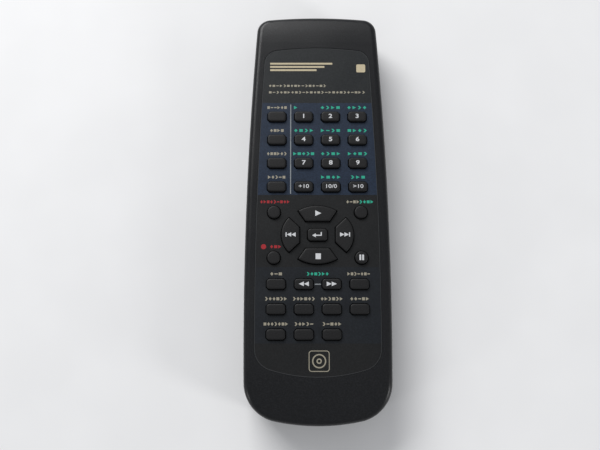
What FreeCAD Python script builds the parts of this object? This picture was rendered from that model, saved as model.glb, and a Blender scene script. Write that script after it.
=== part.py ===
import FreeCAD, Part
import math
import os
import Sketcher
from FreeCAD import Placement, Rotation, Vector

# Handheld remote control for a disc recorder, lying on its back with the keys up.
# +Z runs from the back to the keys, +Y towards the emitter end.
# The origin is on the resting plane, under the middle of the case.
doc = FreeCAD.newDocument("remote_control")
sheet = doc.addObject("Spreadsheet::Sheet", "sizes")
size_names = []


def size(name, value):
    """Write one driving size, in millimetres, degrees or a count, into the sheet."""
    size_names.append(name)
    row = len(size_names)
    sheet.set(f"A{row}", name)
    sheet.set(f"B{row}", str(value))
    sheet.setAlias(f"B{row}", name)


# Case outline at the parting plane
size("case_length", 154.0)
size("case_half_width", 26.85)
size("widest_place", -34.0)
size("side_bow_radius", 1450.0)
size("emitter_end_radius", 190.0)
size("emitter_corner_radius", 5.5)
size("battery_end_radius", 75.0)
size("battery_corner_radius", 14.0)

# Case section
size("case_height", 20.4)
size("parting_height", 10.4)
size("side_wall", 1.8)
size("back_wall", 1.8)
size("face_wall", 1.4)
size("upper_draft", 1.5)
size("lower_draft", 4.0)
size("face_edge_radius", 2.2)
size("back_edge_bevel", 2.0)
size("seam_bevel", 0.3)
size("flat_face_front", 66.0)
size("flat_face_back", 57.0)
size("emitter_fall", 0.9)
size("battery_fall", 3.6)

# Face plate let into the top of the case
size("plate_border", 4.1)
size("plate_top_edge", 63.6)
size("plate_top_radius", 113.0)
size("plate_top_corner", 5.0)
size("plate_bottom_edge", 60.0)
size("plate_bottom_radius", 58.0)
size("plate_bottom_corner", 8.0)
size("plate_recess", 0.2)
size("plate_thickness", 0.6)
size("plate_clearance", 0.1)

# Key field
size("column_pitch", 10.0)
size("row_pitch", 9.0)
size("first_column", -15.0)
size("number_row", 36.0)
size("cursor_row", -27.0)
size("key_hole_width", 7.4)
size("key_hole_depth", 4.4)
size("key_hole_corner", 1.0)
size("round_hole", 5.3)
size("round_column", 15.9)
size("round_row_offset", 8.4)
size("cluster_place", -9.0)
size("enter_hole_width", 7.8)
size("enter_hole_depth", 5.1)
size("wide_crown", 11.05)
size("wide_tip_out", 9.0)
size("wide_tip_half", 7.5)
size("wide_root_out", 4.7)
size("wide_root_half", 4.5)
size("tall_crown", 13.45)
size("tall_tip_out", 10.4)
size("tall_tip_half", 6.8)
size("tall_root_out", 6.25)
size("tall_root_half", 2.9)

# Keys
size("key_gap", 0.3)
size("key_rise", 1.2)
size("key_bevel", 0.35)
size("window_margin", 0.3)
size("flange_margin", 0.85)
size("flange_thickness", 0.7)
size("flange_clearance", 0.1)
size("press_gap", 1.0)
size("plunger_width", 4.4)
size("plunger_depth", 2.4)
size("round_plunger", 2.6)

# Key mat and circuit board
size("board_underside", 14.2)
size("board_thickness", 1.2)
size("board_half_width", 20.9)
size("board_front", 55.0)
size("board_back", 51.0)
size("board_corner", 1.5)
size("mat_thickness", 0.9)
size("mat_half_width", 20.8)
size("mat_front", 41.0)
size("mat_back", 49.5)
size("well_clearance", 0.5)
size("rail_thickness", 0.8)

# Battery compartment
size("cell_diameter", 10.5)
size("cell_length", 44.5)
size("cell_pitch", 11.2)
size("nub_diameter", 3.8)
size("nub_length", 0.8)
size("cell_clearance", 0.35)
size("compartment_wall", 1.1)
size("compartment_back", 71.8)
size("contact_thickness", 0.4)
size("contact_width", 8.0)
size("contact_height", 9.0)
size("spring_length", 4.6)
size("spring_wire", 0.6)
size("spring_base", 7.6)
size("spring_tip", 4.4)
size("spring_turns", 2.5)
size("spring_facets", 6)

# Battery cover
size("cover_thickness", 1.9)
size("cover_half_width", 15.5)
size("cover_reach", 2.0)
size("cover_clearance", 0.15)
size("tongue_width", 1.4)
size("tongue_root", 1.3)
size("tongue_thickness", 0.9)
size("shelf_thickness", 1.15)
size("shelf_margin", 1.2)
size("latch_half_width", 4.0)
size("latch_length", 1.8)
size("grip_grooves", 6)
size("grip_pitch", 1.6)
size("grip_width", 0.8)
size("grip_length", 14.0)
size("grip_deep", 0.5)
size("grip_place", -28.0)

# Infrared window and diode
size("window_half_width", 9.0)
size("window_low", 6.4)
size("window_high", 14.4)
size("window_lip", 1.4)
size("window_lip_thickness", 0.9)
size("window_gap", 0.1)
size("window_seat", 1.3)
size("diode_diameter", 5.0)
size("diode_rim", 5.8)
size("diode_length", 8.0)
size("diode_height", 10.4)
size("lead_pitch", 2.54)
size("lead_width", 0.5)

# Screws and their bosses
size("back_screw_x", 20.6)
size("back_screw_y", 57.5)
size("screw_shank", 2.2)
size("screw_head", 4.4)
size("screw_head_thickness", 1.7)
size("screw_length", 9.0)
size("screw_well", 4.9)
size("screw_well_length", 4.0)
size("well_roof", 1.6)
size("well_wall", 1.3)
size("boss_diameter", 5.2)
size("bore_clearance", 0.05)
doc.recompute()

# Heights and places worked out from the driving sizes
face_level = "sizes.case_height"
plate_top = "(sizes.case_height - sizes.plate_recess)"
recess_floor = "(sizes.case_height - sizes.plate_recess - sizes.plate_thickness)"
ceiling = "(sizes.case_height - sizes.plate_recess - sizes.plate_thickness - sizes.face_wall)"
board_top = "(sizes.board_underside + sizes.board_thickness)"
mat_top = "(sizes.board_underside + sizes.board_thickness + sizes.mat_thickness)"
flange_top = f"({ceiling} - sizes.flange_clearance)"
flange_underside = f"({flange_top} - sizes.flange_thickness)"
plunger_end = f"({board_top} + sizes.press_gap)"
half_length = "(sizes.case_length / 2)"
cell_level = "(sizes.cover_thickness + sizes.cell_clearance + sizes.cell_diameter / 2)"
compartment_roof = "(sizes.cover_thickness + 2 * sizes.cell_clearance + sizes.cell_diameter)"
compartment_half = "(sizes.cell_pitch / 2 + sizes.cell_diameter / 2 + sizes.cell_clearance)"
stack_length = "(sizes.cell_length + 2 * sizes.contact_thickness + sizes.spring_length + sizes.nub_length / 2)"
compartment_front = f"({stack_length} - sizes.compartment_back)"
block_half = f"({compartment_half} + sizes.compartment_wall)"
block_front = f"({compartment_front} + sizes.compartment_wall)"
block_back = "(-sizes.compartment_back - sizes.compartment_wall)"
cover_front = f"({block_front} + sizes.cover_reach)"
slot_half = "(sizes.cover_half_width + sizes.tongue_width + sizes.cover_clearance)"
slot_top = "(sizes.cover_thickness + sizes.tongue_thickness + sizes.cover_clearance)"
shelf_top = f"({slot_top} + sizes.shelf_thickness)"
shelf_half = f"({slot_half} + sizes.shelf_margin)"
well_top = "(sizes.screw_well_length + sizes.well_roof)"


def mm(expression):
    """The value of an expression over the sheet, as a plain number."""
    value = sheet.evalExpression(expression)
    return float(value.Value) if hasattr(value, "Value") else float(value)


def add_sketch(body, name, height="0", plane="XY_Plane"):
    """A sketch on one of the body's own origin planes, raised by an expression."""
    sketch = body.newObject("Sketcher::SketchObject", name)
    origin_plane = [face for face in body.Origin.OriginFeatures if face.Role == plane][0]
    sketch.AttachmentSupport = (origin_plane, [""])
    sketch.MapMode = "FlatFace"
    sketch.setExpression("AttachmentOffset.Base.z", height)
    return sketch


def bind(sketch, kind, places, expression):
    """Add one dimension to a sketch and tie it to the sheet."""
    value = mm(expression)
    if kind == "Angle":
        value = math.radians(value)
    index = sketch.addConstraint(Sketcher.Constraint(kind, *places, value))
    sketch.setExpression(f"Constraints[{index}]", expression)


def draw_rectangle(sketch, left, right, low, high):
    """A rectangle with each side tied to an expression."""
    first = sketch.GeometryCount
    corners = [Vector(mm(left), mm(low)), Vector(mm(right), mm(low)),
               Vector(mm(right), mm(high)), Vector(mm(left), mm(high))]
    sketch.addGeometry([Part.LineSegment(corners[i], corners[(i + 1) % 4]) for i in range(4)], False)
    rules = [Sketcher.Constraint("Coincident", first + i, 2, first + (i + 1) % 4, 1) for i in range(4)]
    rules += [Sketcher.Constraint("Horizontal", first + i) for i in (0, 2)]
    rules += [Sketcher.Constraint("Vertical", first + i) for i in (1, 3)]
    sketch.addConstraint(rules)
    bind(sketch, "DistanceX", (-1, 1, first, 1), left)
    bind(sketch, "DistanceX", (-1, 1, first, 2), right)
    bind(sketch, "DistanceY", (-1, 1, first, 1), low)
    bind(sketch, "DistanceY", (-1, 1, first + 2, 1), high)


def draw_rounded(sketch, left, right, low, high, corner):
    """A rectangle with four equal round corners."""
    first = sketch.GeometryCount
    x0, x1, y0, y1, r = mm(left), mm(right), mm(low), mm(high), mm(corner)
    lines = [((x0 + r, y0), (x1 - r, y0)), ((x1, y0 + r), (x1, y1 - r)),
             ((x1 - r, y1), (x0 + r, y1)), ((x0, y1 - r), (x0, y0 + r))]
    centres = [(x1 - r, y0 + r), (x1 - r, y1 - r), (x0 + r, y1 - r), (x0 + r, y0 + r)]
    shapes = [Part.LineSegment(Vector(*start), Vector(*end)) for start, end in lines]
    for turn, centre in enumerate(centres):
        circle = Part.Circle(Vector(*centre), Vector(0, 0, 1), r)
        shapes.append(Part.ArcOfCircle(circle, (turn - 1) * math.pi / 2, turn * math.pi / 2))
    sketch.addGeometry(shapes, False)
    rules = []
    for i in range(4):
        rules.append(Sketcher.Constraint("Tangent", first + i, 2, first + 4 + i, 1))
        rules.append(Sketcher.Constraint("Tangent", first + 4 + i, 2, first + (i + 1) % 4, 1))
    rules += [Sketcher.Constraint("Horizontal", first + i) for i in (0, 2)]
    rules += [Sketcher.Constraint("Vertical", first + i) for i in (1, 3)]
    rules += [Sketcher.Constraint("Equal", first + 4, first + 5 + i) for i in range(3)]
    sketch.addConstraint(rules)
    bind(sketch, "Radius", (first + 4,), corner)
    bind(sketch, "DistanceX", (-1, 1, first + 3, 1), left)
    bind(sketch, "DistanceX", (-1, 1, first + 1, 1), right)
    bind(sketch, "DistanceY", (-1, 1, first, 1), low)
    bind(sketch, "DistanceY", (-1, 1, first + 2, 1), high)


def draw_circle(sketch, x, y, diameter):
    """A full circle, tied to its centre and its diameter."""
    index = sketch.GeometryCount
    circle = Part.Circle(Vector(mm(x), mm(y)), Vector(0, 0, 1), mm(diameter) / 2)
    sketch.addGeometry(circle, False)
    bind(sketch, "Radius", (index,), f"({diameter}) / 2")
    bind(sketch, "DistanceX", (-1, 1, index, 3), x)
    bind(sketch, "DistanceY", (-1, 1, index, 3), y)


def draw_clipped(sketch, left, right, low, high, cut):
    """A rectangle whose four corners are cut off at 45 degrees by the same amount."""
    first = sketch.GeometryCount
    x0, x1, y0, y1, c = mm(left), mm(right), mm(low), mm(high), mm(cut)
    corners = [Vector(x0 + c, y0), Vector(x1 - c, y0), Vector(x1, y0 + c), Vector(x1, y1 - c),
               Vector(x1 - c, y1), Vector(x0 + c, y1), Vector(x0, y1 - c), Vector(x0, y0 + c)]
    sketch.addGeometry([Part.LineSegment(corners[i], corners[(i + 1) % 8]) for i in range(8)], False)
    rules = [Sketcher.Constraint("Coincident", first + i, 2, first + (i + 1) % 8, 1) for i in range(8)]
    rules += [Sketcher.Constraint("Horizontal", first + i) for i in (0, 4)]
    rules += [Sketcher.Constraint("Vertical", first + i) for i in (2, 6)]
    sketch.addConstraint(rules)
    bind(sketch, "DistanceX", (-1, 1, first + 6, 1), left)
    bind(sketch, "DistanceX", (-1, 1, first + 2, 1), right)
    bind(sketch, "DistanceY", (-1, 1, first, 1), low)
    bind(sketch, "DistanceY", (-1, 1, first + 4, 1), high)
    for side, (x, y) in ((0, (left, low)), (4, (right, high))):
        sign = "+" if side == 0 else "-"
        bind(sketch, "DistanceX", (-1, 1, first + side, 1), f"({x} {sign} {cut})")
        bind(sketch, "DistanceY", (-1, 1, first + side + 2, 1), f"({y} {sign} {cut})")
    bind(sketch, "DistanceX", (-1, 1, first, 2), f"({right} - {cut})")
    bind(sketch, "DistanceX", (-1, 1, first + 4, 2), f"({left} + {cut})")
    bind(sketch, "DistanceY", (-1, 1, first + 2, 2), f"({high} - {cut})")
    bind(sketch, "DistanceY", (-1, 1, first + 6, 2), f"({low} + {cut})")


def corner_centre(side_centre, side_radius, end_centre, end_radius, corner, upward):
    """Centre of the corner arc that rolls inside a side arc and an end arc."""
    reach_side = side_radius - corner
    reach_end = end_radius - corner
    apart = end_centre - side_centre
    distance = apart.Length
    along = (reach_side ** 2 - reach_end ** 2 + distance ** 2) / (2 * distance)
    across = math.sqrt(reach_side ** 2 - along ** 2)
    direction = apart / distance
    normal = Vector(-direction.y, direction.x)
    options = [side_centre + direction * along + normal * across * sign for sign in (1, -1)]
    return max(options, key=lambda point: point.y * upward)


def draw_outline(sketch, half_width, inset, top, top_radius, top_corner, bottom, bottom_radius, bottom_corner):
    """Eight tangent arcs: two bowed sides, two bowed ends and four corners, drawn in from the case edge."""
    side_radius = f"(sizes.side_bow_radius - {inset})"
    side_place = f"(sizes.side_bow_radius - {half_width})"
    top_centre = f"({top} - {top_radius})"
    bottom_centre = f"({bottom_radius} - {bottom})"
    values = [mm(text) for text in (side_radius, side_place, "sizes.widest_place", top_centre, bottom_centre)]
    r_side, x_side, y_side, y_top, y_bottom = values
    r_top, r_bottom = mm(f"{top_radius} - {inset}"), mm(f"{bottom_radius} - {inset}")
    c_top, c_bottom = mm(f"{top_corner} - {inset}"), mm(f"{bottom_corner} - {inset}")
    left_centre, right_centre = Vector(x_side, y_side), Vector(-x_side, y_side)
    top_point, bottom_point = Vector(0, y_top), Vector(0, y_bottom)
    upper_right = corner_centre(right_centre, r_side, top_point, r_top, c_top, 1)
    lower_right = corner_centre(right_centre, r_side, bottom_point, r_bottom, c_bottom, -1)
    upper_left = Vector(-upper_right.x, upper_right.y)
    lower_left = Vector(-lower_right.x, lower_right.y)
    centres = [right_centre, upper_right, top_point, upper_left, left_centre, lower_left, bottom_point, lower_right]
    radii = [r_side, c_top, r_top, c_top, r_side, c_bottom, r_bottom, c_bottom]

    def joint_angle(first, second):
        """Direction of the point where two touching arcs of the outline meet."""
        large, small = (first, second) if radii[first] > radii[second] else (second, first)
        way = centres[small] - centres[large]
        return math.atan2(way.y, way.x)

    shapes = []
    for i in range(8):
        start = joint_angle((i - 1) % 8, i)
        end = joint_angle(i, (i + 1) % 8)
        if end < start:
            end += 2 * math.pi
        shapes.append(Part.ArcOfCircle(Part.Circle(centres[i], Vector(0, 0, 1), radii[i]), start, end))
    sketch.addGeometry(shapes, False)
    sketch.addConstraint([Sketcher.Constraint("Tangent", i, 2, (i + 1) % 8, 1) for i in range(8)])
    bind(sketch, "Radius", (0,), side_radius)
    bind(sketch, "Radius", (4,), side_radius)
    bind(sketch, "Radius", (2,), f"({top_radius} - {inset})")
    bind(sketch, "Radius", (6,), f"({bottom_radius} - {inset})")
    for index in (1, 3):
        bind(sketch, "Radius", (index,), f"({top_corner} - {inset})")
    for index in (5, 7):
        bind(sketch, "Radius", (index,), f"({bottom_corner} - {inset})")
    for index, sign in ((0, "-"), (4, "")):
        bind(sketch, "DistanceX", (-1, 1, index, 3), f"{sign}{side_place}")
        bind(sketch, "DistanceY", (-1, 1, index, 3), "sizes.widest_place")
    for index, place in ((2, top_centre), (6, bottom_centre)):
        bind(sketch, "DistanceX", (-1, 1, index, 3), "0")
        bind(sketch, "DistanceY", (-1, 1, index, 3), place)


def draw_case_outline(sketch, inset):
    """The outline of the case, drawn in by a wall."""
    draw_outline(sketch, "sizes.case_half_width", inset,
                 half_length, "sizes.emitter_end_radius", "sizes.emitter_corner_radius",
                 half_length, "sizes.battery_end_radius", "sizes.battery_corner_radius")


def draw_plate_outline(sketch, grow):
    """The outline of the face plate; its sides run parallel to the sides of the case."""
    draw_outline(sketch, "sizes.case_half_width", f"(sizes.plate_border - {grow})",
                 "(sizes.plate_top_edge + sizes.plate_border)",
                 "(sizes.plate_top_radius + sizes.plate_border)",
                 "(sizes.plate_top_corner + sizes.plate_border)",
                 "(sizes.plate_bottom_edge + sizes.plate_border)",
                 "(sizes.plate_bottom_radius + sizes.plate_border)",
                 "(sizes.plate_bottom_corner + sizes.plate_border)")


def draw_wedge(sketch, kind, grow):
    """One key of the oval cluster: an arc outside, a flat inside and two slanted sides, pointing to +Y."""
    crown, tip_out, tip_half = f"sizes.{kind}_crown", f"sizes.{kind}_tip_out", f"sizes.{kind}_tip_half"
    root_out, root_half = f"sizes.{kind}_root_out", f"sizes.{kind}_root_half"
    lift = f"({crown} - {tip_out})"
    radius = f"(({tip_half} * {tip_half} + {lift} * {lift}) / (2 * {lift}))"
    slant = f"atan2({tip_out} - {root_out}; {tip_half} - {root_half})"
    root_level = f"({root_out} - {grow})"
    root_reach = f"({root_half} + {grow} * tan({slant} / 2))"
    centre = f"({crown} - {radius})"
    arc_radius = f"({radius} + {grow})"
    angle = math.radians(mm(slant))
    root = Vector(mm(root_reach), mm(root_level))
    middle = Vector(0, mm(centre))
    heading = Vector(math.cos(angle), math.sin(angle))
    to_root = root - middle
    half_b = to_root.dot(heading)
    run = -half_b + math.sqrt(half_b ** 2 - to_root.dot(to_root) + mm(arc_radius) ** 2)
    tip = root + heading * run
    start = math.atan2(tip.y - middle.y, tip.x)
    mirror_root, mirror_tip = Vector(-root.x, root.y), Vector(-tip.x, tip.y)
    sketch.addGeometry([
        Part.LineSegment(mirror_root, root),
        Part.LineSegment(root, tip),
        Part.ArcOfCircle(Part.Circle(middle, Vector(0, 0, 1), mm(arc_radius)), start, math.pi - start),
        Part.LineSegment(mirror_tip, mirror_root)], False)
    sketch.addConstraint([Sketcher.Constraint("Coincident", i, 2, (i + 1) % 4, 1) for i in range(4)])
    bind(sketch, "Radius", (2,), arc_radius)
    bind(sketch, "DistanceX", (-1, 1, 2, 3), "0")
    bind(sketch, "DistanceY", (-1, 1, 2, 3), centre)
    bind(sketch, "DistanceX", (-1, 1, 0, 1), f"-{root_reach}")
    bind(sketch, "DistanceY", (-1, 1, 0, 1), root_level)
    bind(sketch, "DistanceX", (-1, 1, 0, 2), root_reach)
    bind(sketch, "DistanceY", (-1, 1, 0, 2), root_level)
    bind(sketch, "Angle", (1,), slant)
    bind(sketch, "Angle", (3,), f"-{slant}")


def new_body(name, x="0", y="0", z="0"):
    """An empty body named after its piece, placed by expressions."""
    body = doc.addObject("PartDesign::Body", name)
    body.Label = name
    for axis, expression in (("x", x), ("y", y), ("z", z)):
        body.setExpression(f"Placement.Base.{axis}", expression)
    return body


def pad(body, sketch, length, draft=None, downward=False):
    """Raise a sketch into a solid."""
    feature = body.newObject("PartDesign::Pad", f"{sketch.Name}_pad")
    feature.Profile = sketch
    feature.Reversed = downward
    feature.setExpression("Length", length)
    if draft:
        feature.setExpression("TaperAngle", draft)
    body.Tip = feature
    return feature


def pocket(body, sketch, depth=None, upward=False):
    """Cut a sketch down into the body, or up when asked, for a depth or right through."""
    feature = body.newObject("PartDesign::Pocket", f"{sketch.Name}_pocket")
    feature.Profile = sketch
    feature.Reversed = upward
    if depth:
        feature.setExpression("Length", depth)
    else:
        feature.Type = "ThroughAll"
        feature.SideType = "Symmetric"
    body.Tip = feature
    return feature


def spread(body, feature, sketch, columns=1, rows=1):
    """Repeat a cut along the key columns, to +X, and the key rows, to -Y."""
    grid = body.newObject("PartDesign::MultiTransform", f"{feature.Name}_grid")
    grid.Originals = [feature]
    steps = []
    for count, axis, pitch, backward in ((columns, "H_Axis", "sizes.column_pitch", False),
                                         (rows, "V_Axis", "sizes.row_pitch", True)):
        if count > 1:
            step = body.newObject("PartDesign::LinearPattern", f"{grid.Name}_{axis}")
            step.Direction = (sketch, [axis])
            step.Reversed = backward
            step.Mode = "Spacing"
            step.setExpression("Offset", pitch)
            step.Occurrences = count
            steps.append(step)
    grid.Transformations = steps
    body.Tip = grid
    return grid


def edges_where(shape, test):
    """Names of the edges whose every sampled point passes a test."""
    names = []
    for index, edge in enumerate(shape.Edges, 1):
        first, last = edge.ParameterRange
        points = [edge.valueAt(first + (last - first) * part) for part in (0.0, 0.25, 0.5, 0.75, 1.0)]
        if all(test(point) for point in points):
            names.append(f"Edge{index}")
    return names


def dress(body, kind, feature, names, size_name):
    """Round or bevel the named edges of a feature."""
    finish = body.newObject(f"PartDesign::{kind}", f"{feature.Name}_{kind.lower()}")
    finish.Base = (feature, names)
    finish.setExpression("Radius" if kind == "Fillet" else "Size", size_name)
    body.Tip = finish
    return finish


def draw_face_profile(sketch, level, sink):
    """The air above the face, seen from the side: level over the plate, falling away at both ends."""
    front_run = f"({half_length} - sizes.flat_face_front)"
    back_run = f"({half_length} - sizes.flat_face_back)"
    margin = 12.0
    shapes = []
    values = []
    for run, fall, place in ((back_run, "sizes.battery_fall", "-sizes.flat_face_back"),
                             (front_run, "sizes.emitter_fall", "sizes.flat_face_front")):
        radius = f"(({run} * {run} + {fall} * {fall}) / (2 * {fall}) - {sink})"
        values.append((radius, place, mm(radius), mm(place), mm(run), mm(fall)))
    top = mm(level)
    (r_back_text, back_place, r_back, y_back, run_back, fall_back) = values[0]
    (r_front_text, front_place, r_front, y_front, run_front, fall_front) = values[1]
    sweep = math.radians(25.0)
    back_end = Vector(y_back - r_back * math.sin(sweep), top - r_back + r_back * math.cos(sweep))
    sweep_front = math.radians(10.0)
    front_end = Vector(y_front + r_front * math.sin(sweep_front), top - r_front + r_front * math.cos(sweep_front))
    back_arc = Part.Circle(Vector(y_back, top - r_back), Vector(0, 0, 1), r_back)
    front_arc = Part.Circle(Vector(y_front, top - r_front), Vector(0, 0, 1), r_front)
    roof = top + margin
    sketch.addGeometry([
        Part.ArcOfCircle(back_arc, math.pi / 2, math.pi / 2 + sweep),
        Part.LineSegment(back_end, Vector(back_end.x, roof)),
        Part.LineSegment(Vector(back_end.x, roof), Vector(front_end.x, roof)),
        Part.LineSegment(Vector(front_end.x, roof), front_end),
        Part.ArcOfCircle(front_arc, math.pi / 2 - sweep_front, math.pi / 2),
        Part.LineSegment(Vector(y_front, top), Vector(y_back, top))], False)
    rules = [Sketcher.Constraint("Coincident", i, 2, i + 1, 1) for i in (1, 2)]
    rules.append(Sketcher.Constraint("Coincident", 0, 2, 1, 1))
    rules.append(Sketcher.Constraint("Coincident", 3, 2, 4, 1))
    rules.append(Sketcher.Constraint("Tangent", 4, 2, 5, 1))
    rules.append(Sketcher.Constraint("Tangent", 5, 2, 0, 1))
    rules += [Sketcher.Constraint("Vertical", i) for i in (1, 3)]
    rules += [Sketcher.Constraint("Horizontal", i) for i in (2, 5)]
    sketch.addConstraint(rules)
    bind(sketch, "DistanceX", (-1, 1, 5, 2), back_place)
    bind(sketch, "DistanceX", (-1, 1, 5, 1), front_place)
    bind(sketch, "DistanceY", (-1, 1, 5, 1), level)
    bind(sketch, "Radius", (0,), r_back_text)
    bind(sketch, "Radius", (4,), r_front_text)
    bind(sketch, "DistanceX", (-1, 1, 0, 2), f"-sizes.flat_face_back - {r_back_text} * sin(25)")
    bind(sketch, "DistanceX", (-1, 1, 4, 1), f"sizes.flat_face_front + {r_front_text} * sin(10)")
    bind(sketch, "DistanceY", (-1, 1, 2, 1), f"{level} + {margin}")


def cut_face(body, level, sink):
    """Shape the top of a body with the side profile of the face."""
    sketch = add_sketch(body, f"{body.Name}_side_view", plane="YZ_Plane")
    draw_face_profile(sketch, level, sink)
    return pocket(body, sketch)


def cut_key_holes(body, level, depth, grow, corner):
    """Openings for every key, each grown from the nominal hole by a margin."""
    half_wide, half_deep = f"(sizes.key_hole_width / 2 + {grow})", f"(sizes.key_hole_depth / 2 + {grow})"
    blocks = (("number", "sizes.first_column", "sizes.number_row", 4, 4),
              ("cursor", "sizes.first_column", "sizes.cursor_row", 4, 2),
              ("program", "sizes.first_column", "(sizes.cursor_row - 2 * sizes.row_pitch)", 3, 1))
    for name, x, y, columns, rows in blocks:
        sketch = add_sketch(body, f"{body.Name}_{name}_holes", level)
        sides = (f"({x} - {half_wide})", f"({x} + {half_wide})", f"({y} - {half_deep})", f"({y} + {half_deep})")
        if corner:
            draw_clipped(sketch, *sides, corner)
        else:
            draw_rectangle(sketch, *sides)
        spread(body, pocket(body, sketch, depth), sketch, columns, rows)
    sketch = add_sketch(body, f"{body.Name}_enter_hole", level)
    sides = [f"(-sizes.enter_hole_width / 2 - {grow})", f"(sizes.enter_hole_width / 2 + {grow})",
             f"(sizes.cluster_place - sizes.enter_hole_depth / 2 - {grow})",
             f"(sizes.cluster_place + sizes.enter_hole_depth / 2 + {grow})"]
    if corner:
        draw_clipped(sketch, *sides, corner)
    else:
        draw_rectangle(sketch, *sides)
    pocket(body, sketch, depth)
    sketch = add_sketch(body, f"{body.Name}_round_holes", level)
    half_round = f"(sizes.round_hole / 2 + {grow})"
    for x in ("-sizes.round_column", "sizes.round_column"):
        for sign in ("+", "-"):
            y = f"(sizes.cluster_place {sign} sizes.round_row_offset)"
            if corner:
                draw_circle(sketch, x, y, f"(2 * {half_round})")
            else:
                draw_rectangle(sketch, f"({x} - {half_round})", f"({x} + {half_round})",
                               f"({y} - {half_round})", f"({y} + {half_round})")
    pocket(body, sketch, depth)
    for name, kind, turn in (("play", "wide", 0), ("previous", "tall", 90), ("stop", "wide", 180), ("next", "tall", 270)):
        sketch = add_sketch(body, f"{body.Name}_{name}_hole", level)
        sketch.AttachmentOffset = Placement(Vector(0, 0, 0), Rotation(Vector(0, 0, 1), turn))
        sketch.setExpression("AttachmentOffset.Base.y", "sizes.cluster_place")
        sketch.setExpression("AttachmentOffset.Base.z", level)
        draw_wedge(sketch, kind, grow)
        pocket(body, sketch, depth)


# Hollow of the upper case: the inside of the walls under the face
upper_hollow = new_body("upper_hollow")
hollow_sketch = add_sketch(upper_hollow, "upper_hollow_outline", "sizes.parting_height")
draw_case_outline(hollow_sketch, "sizes.side_wall")
pad(upper_hollow, hollow_sketch, "sizes.case_height - sizes.parting_height")
cut_face(upper_hollow, ceiling, "(sizes.plate_recess + sizes.plate_thickness + sizes.face_wall)")

# Upper case: moulded shell that carries the face plate and hangs over the keys
upper_case = new_body("upper_case")
outline_sketch = add_sketch(upper_case, "upper_outline", "sizes.parting_height")
draw_case_outline(outline_sketch, "0")
pad(upper_case, outline_sketch, "sizes.case_height - sizes.parting_height", "-sizes.upper_draft")
shaped = cut_face(upper_case, face_level, "0")
doc.recompute()
seam = mm("sizes.parting_height")
lowest_rim = mm("sizes.case_height - sizes.battery_fall") - 1.0
rim_edges = edges_where(shaped.Shape, lambda point: point.z > lowest_rim)
rim_edges = [name for name in rim_edges if len(set(round(vertex.X, 3) for vertex in
             shaped.Shape.getElement(name).Vertexes)) < 2 or
             abs(abs(shaped.Shape.getElement(name).CenterOfMass.x)) > 1.0 or
             abs(shaped.Shape.getElement(name).CenterOfMass.y) > mm(half_length) - 3.0]
dress(upper_case, "Fillet", shaped, rim_edges, "sizes.face_edge_radius")
hollowing = upper_case.newObject("PartDesign::Boolean", "upper_hollowing")
hollowing.setObjects([upper_hollow])
hollowing.Type = "Cut"
upper_case.Tip = hollowing
recess_sketch = add_sketch(upper_case, "plate_recess_outline", face_level)
draw_plate_outline(recess_sketch, "sizes.plate_clearance")
pocket(upper_case, recess_sketch, "sizes.plate_recess + sizes.plate_thickness")
cut_key_holes(upper_case, recess_floor, "2 * sizes.face_wall", "sizes.window_margin", None)
for side, sign in (("left", "-"), ("right", "")):
    rail = add_sketch(upper_case, f"mat_rail_{side}", mat_top)
    rail_inner = f"(sizes.mat_half_width - sizes.rail_thickness)"
    limits = [f"{sign}{rail_inner}", f"{sign}sizes.mat_half_width"]
    if sign:
        limits.reverse()
    draw_rectangle(rail, *limits, "-sizes.mat_back", "sizes.mat_front")
    pad(upper_case, rail, f"{ceiling} - {mat_top} + sizes.face_wall / 2")
screw_places = [(f"{sign}sizes.back_screw_x", "-sizes.back_screw_y") for sign in ("-", "")]
boss_sketch = add_sketch(upper_case, "screw_bosses", well_top)
for x, y in screw_places:
    draw_circle(boss_sketch, x, y, "sizes.boss_diameter")
pad(upper_case, boss_sketch, f"{ceiling} - {well_top} + sizes.face_wall / 2")
pilot_sketch = add_sketch(upper_case, "pilot_holes", well_top)
for x, y in screw_places:
    draw_circle(pilot_sketch, x, y, "sizes.screw_shank + 2 * sizes.bore_clearance")
pocket(upper_case, pilot_sketch, "sizes.screw_length", upward=True)

# Lower case: tray with the battery compartment, closed by the cover
lower_case = new_body("lower_case")
back_sketch = add_sketch(lower_case, "lower_outline", "sizes.parting_height")
draw_case_outline(back_sketch, "0")
tray = pad(lower_case, back_sketch, "sizes.parting_height", "-sizes.lower_draft", downward=True)
doc.recompute()
back_edges = edges_where(tray.Shape, lambda point: abs(point.z) < 0.001)
rounded_back = dress(lower_case, "Chamfer", tray, back_edges, "sizes.back_edge_bevel")
doc.recompute()
seam_edges = edges_where(rounded_back.Shape, lambda point: abs(point.z - seam) < 0.001)
dress(lower_case, "Chamfer", rounded_back, seam_edges, "sizes.seam_bevel")

# The outside of the tray is kept once more, for the part of it that belongs to the cover
cover_form = new_body("cover_form")
form_sketch = add_sketch(cover_form, "cover_form_outline", "sizes.parting_height")
draw_case_outline(form_sketch, "0")
form_pad = pad(cover_form, form_sketch, "sizes.parting_height", "-sizes.lower_draft", downward=True)
doc.recompute()
form_edges = edges_where(form_pad.Shape, lambda point: abs(point.z) < 0.001)
dress(cover_form, "Chamfer", form_pad, form_edges, "sizes.back_edge_bevel")
cover_inside = new_body("cover_inside")
inside_sketch = add_sketch(cover_inside, "cover_inside_outline", "sizes.parting_height")
draw_case_outline(inside_sketch, "sizes.side_wall")
pad(cover_inside, inside_sketch, "sizes.parting_height - sizes.cover_thickness", downward=True)

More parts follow.
